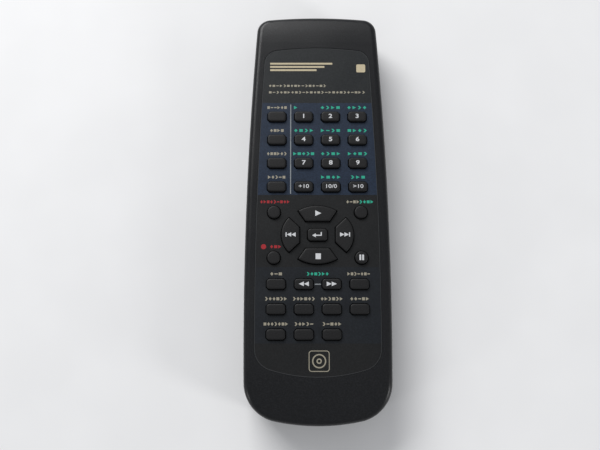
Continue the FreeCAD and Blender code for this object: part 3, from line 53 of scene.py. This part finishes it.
def moulded(name, colour, speck, grain, relief, gloss, spread=0.05, shine=0.26):
    """Moulded plastic or rubber: a fine grain in relief, pale specks and a cloudy gloss."""
    material = bpy.data.materials.new(name)
    material.use_nodes = True
    tree = material.node_tree
    shader = tree.nodes["Principled BSDF"]
    shader.inputs["Specular IOR Level"].default_value = shine
    place = tree.nodes.new("ShaderNodeTexCoord")
    fine = tree.nodes.new("ShaderNodeTexNoise")
    fine.inputs["Scale"].default_value = grain
    fine.inputs["Detail"].default_value = 2.0
    cloud = tree.nodes.new("ShaderNodeTexNoise")
    cloud.inputs["Scale"].default_value = 55.0
    cloud.inputs["Detail"].default_value = 4.0
    specks = tree.nodes.new("ShaderNodeMapRange")
    specks.inputs["From Min"].default_value = 0.40
    specks.inputs["From Max"].default_value = 0.80
    shade = tree.nodes.new("ShaderNodeMix")
    shade.data_type = "RGBA"
    shade.inputs[MIX_A].default_value = (*colour, 1.0)
    shade.inputs[MIX_B].default_value = (*speck, 1.0)
    polish = tree.nodes.new("ShaderNodeMapRange")
    polish.inputs["From Min"].default_value = 0.3
    polish.inputs["From Max"].default_value = 0.7
    polish.inputs["To Min"].default_value = gloss - spread
    polish.inputs["To Max"].default_value = gloss + spread
    bump = tree.nodes.new("ShaderNodeBump")
    bump.inputs["Strength"].default_value = relief
    bump.inputs["Distance"].default_value = RELIEF_DEPTH
    link = tree.links.new
    link(place.outputs["Object"], fine.inputs["Vector"])
    link(place.outputs["Object"], cloud.inputs["Vector"])
    link(fine.outputs["Fac"], specks.inputs["Value"])
    link(specks.outputs["Result"], shade.inputs[0])
    link(shade.outputs[MIX_RESULT], shader.inputs["Base Color"])
    link(cloud.outputs["Fac"], polish.inputs["Value"])
    link(polish.outputs["Result"], shader.inputs["Roughness"])
    link(fine.outputs["Fac"], bump.inputs["Height"])
    link(bump.outputs["Normal"], shader.inputs["Normal"])
    return material


def finish_piece(node, material):
    """Give a CAD piece its finish."""
    slots = nodes[node].data.materials
    slots.clear()
    slots.append(material)


case_black = moulded("case_black", (0.0070, 0.0074, 0.0082), (0.0165, 0.0172, 0.0190),
                     grain=2400.0, relief=0.5, gloss=0.33)
finish_piece("upper_case", case_black)
finish_piece("lower_case", case_black)


# Infrared window: a deep red acrylic lens, polished, held behind the wall of the emitter end
# by its lip. The diode behind it is smoky epoxy, with two legs bent up to the board.
def polished(name, colour, haze, gloss):
    """Polished resin or lacquer with faint haze and handling marks."""
    material = moulded(name, colour, haze, grain=300.0, relief=0.04, gloss=gloss, spread=0.03, shine=0.5)
    shader = material.node_tree.nodes["Principled BSDF"]
    shader.inputs["Coat Weight"].default_value = 0.4
    shader.inputs["Coat Roughness"].default_value = 0.08
    return material


red_acrylic = polished("red_acrylic", (0.012, 0.0015, 0.002), (0.018, 0.0025, 0.003), gloss=0.09)
finish_piece("infrared_window", red_acrylic)
smoky_epoxy = polished("smoky_epoxy", (0.10, 0.09, 0.20), (0.14, 0.13, 0.26), gloss=0.12)
finish_piece("infrared_diode", smoky_epoxy)

# Circuit board: brown paper laminate under a dull lacquer, carrying the controller chip,
# the driver transistor, an orange ceramic resonator, a sleeved capacitor and chip resistors.
paper_laminate = moulded("paper_laminate", (0.27, 0.15, 0.06), (0.36, 0.21, 0.09),
                         grain=900.0, relief=0.2, gloss=0.45)
finish_piece("circuit_board", paper_laminate)
chip_black = moulded("chip_black", (0.018, 0.018, 0.019), (0.030, 0.030, 0.032),
                     grain=3200.0, relief=0.4, gloss=0.6)
for part in ("controller_chip", "driver_transistor", "chip_resistors"):
    finish_piece(part, chip_black)
finish_piece("resonator", polished("orange_dip", (0.62, 0.24, 0.04), (0.72, 0.31, 0.06), gloss=0.3))
finish_piece("capacitor", polished("blue_sleeve", (0.03, 0.05, 0.16), (0.05, 0.07, 0.20), gloss=0.25))

# Key mat: one sheet of grey silicone rubber between the board and the keys.
# It is matt and slightly dusty, with an opening under each key that lets the plunger through.
grey_silicone = moulded("grey_silicone", (0.13, 0.14, 0.15), (0.18, 0.19, 0.20),
                        grain=1500.0, relief=0.5, gloss=0.75)
finish_piece("key_mat", grey_silicone)


# Face plate: a printed sheet bonded into the recess of the upper case, in slate grey.
# A navy field lies behind the number keys, and the lower keys stand on a faintly blue field.
FIELDS_END = 70.0


def printed_sheet():
    """The printed sheet: fields of ink, each from a place along the length, over a fine satin grain."""
    material = moulded("plate_slate", (0.0, 0.0, 0.0), (0.0, 0.0, 0.0),
                       grain=2800.0, relief=0.35, gloss=0.40)
    tree = material.node_tree
    shade = next(node for node in tree.nodes if node.type == "MIX")
    place = next(node for node in tree.nodes if node.type == "TEX_COORD")
    split = tree.nodes.new("ShaderNodeSeparateXYZ")
    along = tree.nodes.new("ShaderNodeMapRange")
    along.inputs["From Min"].default_value = -FIELDS_END * MM
    along.inputs["From Max"].default_value = FIELDS_END * MM
    tree.links.new(place.outputs["Object"], split.inputs["Vector"])
    tree.links.new(split.outputs["Y"], along.inputs["Value"])
    fields = ((-FIELDS_END, (0.0080, 0.0083, 0.0086)),
              (-48.4, (0.0078, 0.0094, 0.0118)),
              (-20.8, (0.0080, 0.0084, 0.0088)),
              (5.7, (0.0110, 0.0185, 0.0340)),
              (41.3, (0.0105, 0.0120, 0.0130)))
    for socket, paler in ((MIX_A, 1.0), (MIX_B, 1.9)):
        ramp = tree.nodes.new("ShaderNodeValToRGB")
        ramp.color_ramp.interpolation = "CONSTANT"
        steps = ramp.color_ramp.elements
        steps.remove(steps[1])
        for number, (start, tint) in enumerate(fields):
            step = steps[0] if number == 0 else steps.new((start + FIELDS_END) / (2 * FIELDS_END))
            step.color = (*(channel * paler for channel in tint), 1.0)
        tree.links.new(along.outputs["Result"], ramp.inputs["Fac"])
        tree.links.new(ramp.outputs["Color"], shade.inputs[socket])
    return material


finish_piece("face_plate", printed_sheet())
plate_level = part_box("face_plate")[1].z

# Pill keys: twenty-seven small keys of black silicone rubber, each a cap with rounded shoulders,
# a flange that stops it under the face and a plunger that reaches down through the mat.
PILL_WIDTH, PILL_DEPTH, PILL_CORNER = 6.8, 3.8, 1.25
LEAST_CORNER = 0.08
SHOULDER = ((0.0, -0.75), (0.0, -0.42), (0.03, -0.26), (0.10, -0.13),
            (0.22, -0.045), (0.42, -0.01), (0.75, 0.0))
KEY_SINK = 0.03 * MM
key_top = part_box("key_1")[1].z - KEY_SINK
key_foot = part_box("key_1")[0].z
flange_low, flange_high = 17.4 * MM, 18.1 * MM
FLANGE_REACH = 1.15
PLUNGER_CORNER = 0.5
PLUNGER_OVERLAP = 0.1 * MM
LEVEL_SLACK = 0.01 * MM
SHARP_ANGLE = math.radians(50)
key_rubber = moulded("key_rubber", (0.0070, 0.0070, 0.0074), (0.0135, 0.0135, 0.0140),
                     grain=2200.0, relief=0.45, gloss=0.48)


def arc_points(centre, radius, start, end, steps):
    """Points along an arc, in millimetres and degrees."""
    turns = (math.radians(start + (end - start) * step / steps) for step in range(steps + 1))
    return [(centre[0] + radius * math.cos(turn), centre[1] + radius * math.sin(turn)) for turn in turns]


def circle(radius, count):
    """Points round a circle about the origin."""
    return arc_points((0, 0), radius, 0, 360 - 360 / count, count - 1)


def pill_outline(width, depth, corner, inset):
    """A rectangle with round corners, drawn in by an inset."""
    round_part = max(corner - inset, LEAST_CORNER)
    reach_x, reach_y = width / 2 - inset - round_part, depth / 2 - inset - round_part
    points = []
    for sign_x, sign_y, start in ((1, 1, 0), (-1, 1, 90), (-1, -1, 180), (1, -1, 270)):
        points += arc_points((sign_x * reach_x, sign_y * reach_y), round_part, start, start + 90, 8)
    return points


def make_mesh(name, body, material, centre, build, smooth=True):
    """Turn a filled bmesh into a piece that rides on a body."""
    mesh = bpy.data.meshes.new(name)
    shape = bmesh.new()
    build(shape)
    bmesh.ops.recalc_face_normals(shape, faces=shape.faces)
    for face in shape.faces:
        face.smooth = smooth
    shape.to_mesh(mesh)
    shape.free()
    mesh.materials.append(material)
    piece = bpy.data.objects.new(name, mesh)
    bpy.context.scene.collection.objects.link(piece)
    piece.location = centre
    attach(piece, body)
    return piece


def loft(shape, rings):
    """Skin a stack of like rings, (points, height), and close both ends."""
    loops = [[shape.verts.new((x * MM, y * MM, z)) for x, y in points] for points, z in rings]
    for lower, upper in zip(loops, loops[1:]):
        for i in range(len(lower)):
            j = (i + 1) % len(lower)
            shape.faces.new((lower[i], lower[j], upper[j], upper[i]))
    shape.faces.new(loops[0])
    shape.faces.new(loops[-1])


def plunger_outline(node, centre):
    """The outline of a key's plunger, read from the lowest points of its CAD piece."""
    low = [v.co - centre for v in nodes[node].data.vertices if v.co.z < key_foot + LEVEL_SLACK]
    left, right = min(p.x for p in low) / MM, max(p.x for p in low) / MM
    front, back = min(p.y for p in low) / MM, max(p.y for p in low) / MM
    shape = pill_outline(right - left, back - front, PLUNGER_CORNER, 0.0)
    return [(x + (left + right) / 2, y + (front + back) / 2) for x, y in shape]


def make_key(name, outline, centre):
    """A rubber key: plunger, flange, straight stem and shouldered cap."""
    foot = plunger_outline(name, centre)
    flange = outline(-FLANGE_REACH)
    stem = outline(0.0)
    rings = [(flange, flange_low), (flange, flange_high), (stem, flange_high)]
    rings += [(outline(inset), key_top + drop * MM) for inset, drop in SHOULDER]

    def build(shape):
        loft(shape, [(foot, key_foot), (foot, flange_low + PLUNGER_OVERLAP)])
        loft(shape, rings)

    piece = make_mesh(name + "_rubber", name, key_rubber, centre, build)
    piece.data.set_sharp_from_angle(angle=SHARP_ANGLE)
    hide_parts(name)
    return piece


def middle(node):
    """The middle of a CAD piece in plan."""
    low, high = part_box(node)
    return Vector(((low.x + high.x) / 2, (low.y + high.y) / 2, 0.0))


key_rows = (("key_edit", "key_1", "key_2", "key_3"),
            ("key_name", "key_4", "key_5", "key_6"),
            ("key_name_clip", "key_7", "key_8", "key_9"),
            ("key_fader", "key_plus_10", "key_10_0", "key_over_10"),
            ("key_a_b", "key_rewind", "key_forward", "key_time_skip"),
            ("key_repeat", "key_random", "key_medley", "key_highlight"),
            ("key_program", "key_check", "key_clear"))
for row in key_rows:
    for key in row:
        make_key(key, lambda inset: pill_outline(PILL_WIDTH, PILL_DEPTH, PILL_CORNER, inset), middle(key))

# Enter key: a wider pill in the middle of the oval, of the same black rubber.
# It stands in its own opening between the four transport keys.
ENTER_WIDTH, ENTER_DEPTH = 7.2, 4.5
make_key("key_enter", lambda inset: pill_outline(ENTER_WIDTH, ENTER_DEPTH, PILL_CORNER, inset),
         middle("key_enter"))

# Round keys: four small buttons at the corners of the oval, of the same black rubber.
# Each is 4.7 mm across.
ROUND_RADIUS = 2.35
ROUND_POINTS = 24
for key in ("key_synchro", "key_display", "key_record", "key_pause"):
    make_key(key, lambda inset: circle(ROUND_RADIUS - inset, ROUND_POINTS), middle(key))


# Transport keys: four slanted keys that make an oval, each an arc outside and a flat inside,
# with its two ends cut back. They are the largest rubber keys of the handset.
WIDE = {"crown": 11.05, "tip_out": 9.0, "tip_half": 7.5, "root_out": 4.7, "root_half": 4.5}
TALL = {"crown": 13.45, "tip_out": 10.4, "tip_half": 6.8, "root_out": 6.25, "root_half": 2.9}
WEDGE_GAP = 0.3
POINT_ROUND, POINT_SHRINK, LEAST_POINT = 0.55, 0.3, 0.2
POINT_STEPS = 5
CROWN_STEPS = 18
CROWN_START = 2
cluster = Vector((0.0, -9.0 * MM, 0.0))


def wedge_outline(form, turn, inset):
    """The outline of one slanted key, pointing up and then turned about the middle of the oval."""
    inset += WEDGE_GAP
    lift = form["crown"] - form["tip_out"]
    radius = (form["tip_half"] ** 2 + lift ** 2) / (2 * lift)
    slant = math.atan2(form["tip_out"] - form["root_out"], form["tip_half"] - form["root_half"])
    middle_point = Vector((0.0, form["crown"] - radius))
    root = Vector((form["root_half"] - inset * math.tan(slant / 2), form["root_out"] + inset))
    heading = Vector((math.cos(slant), math.sin(slant)))
    along = (root - middle_point).dot(heading)
    reach = (radius - inset) ** 2 - (root - middle_point).length_squared + along ** 2
    tip = root + heading * (math.sqrt(reach) - along)
    end = math.degrees(math.atan2(tip.y - middle_point.y, tip.x))
    crown = arc_points(middle_point, radius - inset, end, 180 - end, CROWN_STEPS)
    corner = max(POINT_ROUND - inset * POINT_SHRINK, LEAST_POINT)
    top = CROWN_STEPS // 2
    other_root = Vector((-root.x, root.y))
    outline = []
    for here, before, after in ((root, other_root, tip), (tip, root, Vector(crown[CROWN_START]))):
        start = here + (before - here).normalized() * corner
        finish = here + (after - here).normalized() * corner
        for step in range(POINT_STEPS + 1):
            t = step / POINT_STEPS
            outline.append(start * (1 - t) ** 2 + here * (2 * t * (1 - t)) + finish * t ** 2)
    outline += [Vector(point) for point in crown[CROWN_START:top]]
    mirrored = [Vector((-point.x, point.y)) for point in reversed(outline)]
    outline += [Vector(crown[top])] + mirrored
    swing = math.radians(turn)
    return [(p.x * math.cos(swing) - p.y * math.sin(swing), p.x * math.sin(swing) + p.y * math.cos(swing))
            for p in outline]


for key, form, turn in (("key_play", WIDE, 0), ("key_previous", TALL, 90),
                        ("key_stop", WIDE, 180), ("key_next", TALL, 270)):
    make_key(key, lambda inset: wedge_outline(form, turn, inset), cluster)

# Key legends: white ink printed on the caps. The digits and the signs for play, stop, pause,
# skip and search are the common ones, and the middle key has a bent arrow.
INK_LIFT = 0.012 * MM


def ink(name, colour):
    """Screen ink: faintly uneven colour, half matt."""
    thin = tuple(channel * 0.82 for channel in colour)
    return moulded(name, colour, thin, grain=1800.0, relief=0.1, gloss=0.5)


white_ink = ink("white_ink", (0.60, 0.61, 0.62))
gold_ink = ink("gold_ink", (0.50, 0.43, 0.29))
tan_ink = ink("tan_ink", (0.31, 0.285, 0.22))
green_ink = ink("green_ink", (0.025, 0.36, 0.24))
red_ink = ink("red_ink", (0.33, 0.020, 0.026))


def print_shapes(name, body, material, shapes, centre, level):
    """Flat patches of ink, each a loop of points in millimetres, on a surface at one level."""
    def fill(shape):
        for points in shapes:
            shape.faces.new([shape.verts.new((x * MM, y * MM, 0.0)) for x, y in points])

    place = Vector((centre.x, centre.y, level + INK_LIFT))
    patch = make_mesh(name, body, material, place, fill, smooth=False)
    for face in patch.data.polygons:
        if face.normal.z < 0:
            face.flip()
    return patch


def box_shape(x, y, width, height):
    """A plain bar."""
    return [(x - width / 2, y - height / 2), (x + width / 2, y - height / 2),
            (x + width / 2, y + height / 2), (x - width / 2, y + height / 2)]


def arrow_shape(x, y, width, height, way=1):
    """A triangle that points along X."""
    back, point = x - width / 2 * way, x + width / 2 * way
    corners = [(back, y - height / 2), (point, y), (back, y + height / 2)]
    return corners if way > 0 else corners[::-1]


# Patches in millimetres from the middle of a key, or of the oval for the four slanted keys
signs = {
    "key_play": [arrow_shape(0.3, 7.9, 2.2, 2.1)],
    "key_stop": [box_shape(0.2, -8.0, 1.9, 2.1)],
    "key_pause": [box_shape(-0.5, 0, 0.65, 2.0), box_shape(0.5, 0, 0.65, 2.0)],
    "key_previous": [box_shape(-11.4, 0, 0.42, 1.6), arrow_shape(-10.35, 0, 1.6, 1.6, -1),
                     arrow_shape(-8.75, 0, 1.6, 1.6, -1)],
    "key_next": [box_shape(11.6, 0, 0.42, 1.6), arrow_shape(10.55, 0, 1.6, 1.6),
                 arrow_shape(8.95, 0, 1.6, 1.6)],
    "key_rewind": [arrow_shape(-0.90, 0, 1.8, 1.65, -1), arrow_shape(0.90, 0, 1.8, 1.65, -1)],
    "key_forward": [arrow_shape(-0.90, 0, 1.8, 1.65), arrow_shape(0.90, 0, 1.8, 1.65)],
    "key_enter": [arrow_shape(-1.3, -0.3, 1.3, 1.5, -1), box_shape(0.45, -0.3, 2.2, 0.42),
                  box_shape(1.34, 0.4, 0.42, 0.98)],
}
for key, shapes in signs.items():
    spot = cluster if key in ("key_play", "key_stop", "key_previous", "key_next") else middle(key)
    print_shapes(key + "_sign", key, white_ink, shapes, spot, key_top)


FIGURE_WIDTH = 1.25
DIGIT_HEIGHT, DIGIT_BOLDNESS = 2.25, 0.055
NUMBER_HEIGHT, NUMBER_BOLDNESS = 2.0, 0.02


def print_figures(key, text, height, boldness):
    """A printed number, thickened a little and set in the middle of its key."""
    face = bpy.data.curves.new(key + "_figures", "FONT")
    face.body = text
    face.size = height * MM
    face.offset = boldness * MM
    face.resolution_u = 4
    face.align_x, face.align_y = "CENTER", "CENTER"
    holder = bpy.data.objects.new("figure_holder", face)
    bpy.context.scene.collection.objects.link(holder)
    bpy.context.view_layer.update()
    flat = bpy.data.meshes.new_from_object(holder)
    bpy.data.objects.remove(holder)
    flat.transform(Matrix.Diagonal((FIGURE_WIDTH, 1.0, 1.0, 1.0)))
    flat.materials.clear()
    flat.materials.append(white_ink)
    figures = bpy.data.objects.new(key + "_figures", flat)
    bpy.context.scene.collection.objects.link(figures)
    figures.location = middle(key) + Vector((0, 0, key_top + INK_LIFT))
    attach(figures, key)


for number in range(1, 10):
    print_figures(f"key_{number}", str(number), DIGIT_HEIGHT, DIGIT_BOLDNESS)
for key, text in (("key_plus_10", "+10"), ("key_10_0", "10/0"), ("key_over_10", ">10")):
    print_figures(key, text, NUMBER_HEIGHT, NUMBER_BOLDNESS)

# Marks on the face plate: small generic signs in tan, green, white and red ink above the keys,
# with a thin line beside the number keys. Three gold bars, a gold tile and two rows of signs
# are at the top and a disc in a frame is at the bottom. The pale line round the edge is a painted
# highlight, standing in for the light caught by the step of the recess.
LABEL_RISE = 3.75
COLUMNS = (-15.0, -5.0, 5.0, 15.0)
UPPER_ROWS = (36.0, 27.0, 18.0, 9.0)
SEARCH_ROW, REPEAT_ROW, PROGRAM_ROW = -27.0, -36.0, -45.0


def row_of_signs(x, y, width, kinds, size=1.3):
    """Small signs side by side that fill a width: d diamond, s square, t triangle, l dash, c chevron."""
    shapes = []
    pitch = width / len(kinds)
    for number, kind in enumerate(kinds):
        sx = x - width / 2 + pitch * (number + 0.5)
        half = size / 2
        wide = min(half, pitch * 0.38)
        if kind == "d":
            shapes.append([(sx, y - half), (sx + wide, y), (sx, y + half), (sx - wide, y)])
        elif kind == "s":
            shapes.append(box_shape(sx, y, 2 * wide, size * 0.8))
        elif kind == "t":
            shapes.append(arrow_shape(sx, y, 2 * wide, size))
        elif kind == "l":
            shapes.append(box_shape(sx, y, 2 * wide, size * 0.3))
        elif kind == "c":
            shapes.append([(sx - wide, y - half), (sx, y - half), (sx + wide, y), (sx, y + half),
                           (sx - wide, y + half), (sx, y)])
    return shapes


def label(x, key_row, kinds, pitch, widest):
    """The row of signs over a key, closed up where it would be too wide."""
    return row_of_signs(x, key_row + LABEL_RISE, min(len(kinds) * pitch, widest), kinds)


plate_origin = Vector((0.0, 0.0, 0.0))
tan_shapes = []
for y, kinds in zip(UPPER_ROWS, ("slltds", "dsts", "dsstdc", "tdcls")):
    tan_shapes += label(COLUMNS[0], y, kinds, pitch=1.35, widest=7.6)
tan_shapes += row_of_signs(-15.0, SEARCH_ROW + LABEL_RISE, 4.6, "dls")
tan_shapes += row_of_signs(14.8, SEARCH_ROW + LABEL_RISE, 8.4, "tscldsl")
for x, kinds in zip(COLUMNS, ("cddsct", "cdtsdc", "dtcsct", "ddlst")):
    tan_shapes += label(x, REPEAT_ROW, kinds, pitch=1.4, widest=8.2)
for x, kinds in zip(COLUMNS, ("sddcdst", "cdtcl", "clsdt")):
    tan_shapes += label(x, PROGRAM_ROW, kinds, pitch=1.4, widest=9.0)
tan_shapes += row_of_signs(13.0, 3.4, 5.0, "dlst")
tan_shapes += row_of_signs(-7.35, 48.4, 21.9, "dsltcsdstlcsdlsc", 1.0)
tan_shapes += row_of_signs(0.0, 45.8, 36.6, "slcdstdscltsdscltsdscdlstc", 1.0)
print_shapes("tan_marks", "handset", tan_ink, tan_shapes, plate_origin, plate_level)

BARS_LEFT, BARS_TOP, BARS_PITCH, BAR_HEIGHT = -17.7, 57.3, 1.3, 0.72
gold_shapes = [box_shape(BARS_LEFT + width / 2, BARS_TOP - number * BARS_PITCH, width, BAR_HEIGHT)
               for number, width in enumerate((23.6, 20.6, 17.6))]
gold_shapes.append([(x + 16.7, y + 55.4) for x, y in pill_outline(3.4, 3.2, 0.5, 0.0)])
print_shapes("gold_marks", "handset", gold_ink, gold_shapes, plate_origin, plate_level)

LONE_SIGN_SHIFT = 3.0
green_rows = (("t", "dcts", "dtcd"), ("dsct", "tlcs", "stdc"), ("tsdcs", "dcst", "tdsc"), ("", "tsdt", "cts"))
green_shapes = []
for y, row in zip(UPPER_ROWS, green_rows):
    for x, kinds in zip(COLUMNS[1:], row):
        if kinds:
            spot = x if len(kinds) > 1 else x - LONE_SIGN_SHIFT
            green_shapes += label(spot, y, kinds, pitch=1.95, widest=8.2)
green_shapes += row_of_signs(0.0, SEARCH_ROW + LABEL_RISE, 8.2, "cdsctd")
green_shapes += row_of_signs(18.0, 3.4, 5.4, "cdst")
print_shapes("green_marks", "handset", green_ink, green_shapes, plate_origin, plate_level)

red_shapes = row_of_signs(-15.6, 3.4, 11.0, "dtsdclsdt")
red_shapes += row_of_signs(-15.2, -13.3, 4.4, "dst")
red_shapes.append([(x - 19.6, y - 13.3) for x, y in circle(0.95, ROUND_POINTS)])
print_shapes("red_marks", "handset", red_ink, red_shapes, plate_origin, plate_level)

white_shapes = [box_shape(-9.85, 23.7, 0.35, 34.5), box_shape(0.0, -27.0, 2.2, 0.4)]
print_shapes("white_marks", "handset", ink("pale_ink", (0.25, 0.27, 0.28)), white_shapes,
             plate_origin, plate_level)


def ribbon(outer, inner):
    """A closed band between two like loops, as a list of patches."""
    count = len(outer)
    return [[outer[i], outer[(i + 1) % count], inner[(i + 1) % count], inner[i]] for i in range(count)]


def turning(first, second, third):
    """Above zero where three points turn to the left."""
    return (second[0] - first[0]) * (third[1] - first[1]) - (second[1] - first[1]) * (third[0] - first[0])


def rim_of(node, level):
    """The outermost points of a CAD piece at one height, in order, in millimetres."""
    points = sorted({(round(v.co.x / MM, 3), round(v.co.y / MM, 3))
                     for v in nodes[node].data.vertices if abs(v.co.z - level) < LEVEL_SLACK})
    rim = []
    for run in (points, points[::-1]):
        side = []
        for point in run:
            while len(side) > 1 and turning(side[-2], side[-1], point) <= 0:
                side.pop()
            side.append(point)
        rim += side[:-1]
    return [Vector(point) for point in rim]


# Painted highlight: a pale band just inside the rim of the plate stands in for the light caught by the step
# of the recess.
EDGE_HIGHLIGHT_WIDTH = 0.22
edge_points = rim_of("face_plate", plate_level)
highlight_inner = []
for number, point in enumerate(edge_points):
    heading = (edge_points[(number + 1) % len(edge_points)] - edge_points[number - 1]).normalized()
    highlight_inner.append(point + Vector((-heading.y, heading.x)) * EDGE_HIGHLIGHT_WIDTH)
print_shapes("plate_edge_highlight", "handset", ink("painted_edge_highlight", (0.040, 0.042, 0.044)),
             ribbon(edge_points, highlight_inner), plate_origin, plate_level)

FRAME_SIDE, FRAME_CORNER, FRAME_LINE = 7.4, 1.1, 0.28
DISC_POINTS = 36
frame_mark = ribbon(pill_outline(FRAME_SIDE, FRAME_SIDE, FRAME_CORNER, 0.0),
                    pill_outline(FRAME_SIDE, FRAME_SIDE, FRAME_CORNER, FRAME_LINE))
disc_mark = ribbon(circle(2.5, DISC_POINTS), circle(2.05, DISC_POINTS))
hub_mark = ribbon(circle(0.95, DISC_POINTS), circle(0.5, DISC_POINTS))
print_shapes("disc_mark", "handset", tan_ink, frame_mark + disc_mark + hub_mark,
             Vector((0.4 * MM, -54.3 * MM, 0.0)), plate_level)


# Cells and contacts: two AAA cells in plain grey jackets, held between springs and plates
# of nickelled steel in the compartment.
def plated(name, colour, gloss):
    """Plated steel with faint streaks and dulled patches."""
    dulled = tuple(channel * 0.85 for channel in colour)
    material = moulded(name, colour, dulled, grain=500.0, relief=0.08, gloss=gloss, spread=0.08)
    material.node_tree.nodes["Principled BSDF"].inputs["Metallic"].default_value = 1.0
    return material


STEEL_END = 1.9 * MM


def cell_jacket():
    """A printed jacket, and dark metal beyond it, both at the places that fit the left cell."""
    material = moulded("cell_jacket", (0.10, 0.11, 0.13), (0.14, 0.15, 0.17),
                       grain=700.0, relief=0.05, gloss=0.3)
    tree = material.node_tree
    place = next(node for node in tree.nodes if node.type == "TEX_COORD")
    split = tree.nodes.new("ShaderNodeSeparateXYZ")
    low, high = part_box("cell_left")
    steps = []
    for operation, value in (("SUBTRACT", (low.y + high.y) / 2), ("ABSOLUTE", 0.0),
                             ("GREATER_THAN", (high.y - low.y) / 2 - STEEL_END)):
        step = tree.nodes.new("ShaderNodeMath")
        step.operation = operation
        step.inputs[1].default_value = value
        steps.append(step)
    tree.links.new(place.outputs["Object"], split.inputs["Vector"])
    tree.links.new(split.outputs["Y"], steps[0].inputs[0])
    tree.links.new(steps[0].outputs[0], steps[1].inputs[0])
    tree.links.new(steps[1].outputs[0], steps[2].inputs[0])
    tree.links.new(steps[2].outputs[0], tree.nodes["Principled BSDF"].inputs["Metallic"])
    return material


jacket = cell_jacket()
finish_piece("cell_left", jacket)
finish_piece("cell_right", jacket)
nickel = plated("nickel", (0.62, 0.62, 0.60), gloss=0.28)
for part in ("bridge_contact", "negative_contact", "positive_contact"):
    finish_piece(part, nickel)

# Case screws: two zinc plated screws driven from the back into bosses of the upper case.
# Their heads lie at the bottom of deep wells.
finish_piece("case_screws", plated("zinc", (0.48, 0.49, 0.50), gloss=0.38))

# Battery cover: a black ABS lid that slides off towards the battery end.
# The thumb pushes it by a grip of grooves.
finish_piece("battery_cover", case_black)


# Table and light: a pale, almost white sheet under the handset, and soft light from a wide
# lamp high beyond the emitter end and two weaker ones at the sides of the battery end.
TABLE_SIDE = 3.0
TABLE_DROP = 0.2 * MM
bpy.ops.mesh.primitive_plane_add(size=TABLE_SIDE, location=(0, 0, -TABLE_DROP))
table = bpy.context.object
table.name = "table"
table.data.materials.append(moulded("pale_sheet", (0.80, 0.80, 0.80), (0.83, 0.83, 0.83),
                                    grain=30.0, relief=0.0, gloss=0.6))


def lamp(name, place, aim, width, height, watts):
    """A soft rectangular lamp."""
    light = bpy.data.lights.new(name, "AREA")
    light.shape = "RECTANGLE"
    light.size, light.size_y = width, height
    light.energy = watts
    holder = bpy.data.objects.new(name, light)
    holder.location = place
    holder.rotation_euler = (Vector(aim) - Vector(place)).to_track_quat("-Z", "Y").to_euler()
    bpy.context.scene.collection.objects.link(holder)


lamp("ceiling_lamp", (-0.36, 0.66, 0.64), (0, 0, 0), width=0.7, height=0.5, watts=9.2)
lamp("left_lamp", (-0.52, -0.36, 0.20), (0, -0.04, 0.01), width=0.10, height=0.14, watts=0.40)
lamp("right_lamp", (0.52, -0.30, 0.24), (0, -0.04, 0.01), width=0.12, height=0.18, watts=1.15)

world = bpy.data.worlds.new("room")
world.use_nodes = True
world.node_tree.nodes["Background"].inputs["Color"].default_value = (0.93, 0.95, 1.0, 1.0)
world.node_tree.nodes["Background"].inputs["Strength"].default_value = 0.36
bpy.context.scene.world = world

EYE_TILT = math.radians(11.3)
eye = bpy.data.cameras.new("eye")
eye.lens = 48.0
eye.sensor_width = 36.0
eye.clip_start = 0.01
camera = bpy.data.objects.new("eye", eye)
camera.location = (-6.37 * MM, -62.5 * MM, 306.6 * MM)
camera.rotation_euler = (EYE_TILT, 0.0, 0.0)
bpy.context.scene.collection.objects.link(camera)
bpy.context.scene.camera = camera
bpy.context.scene.view_settings.view_transform = "Standard"
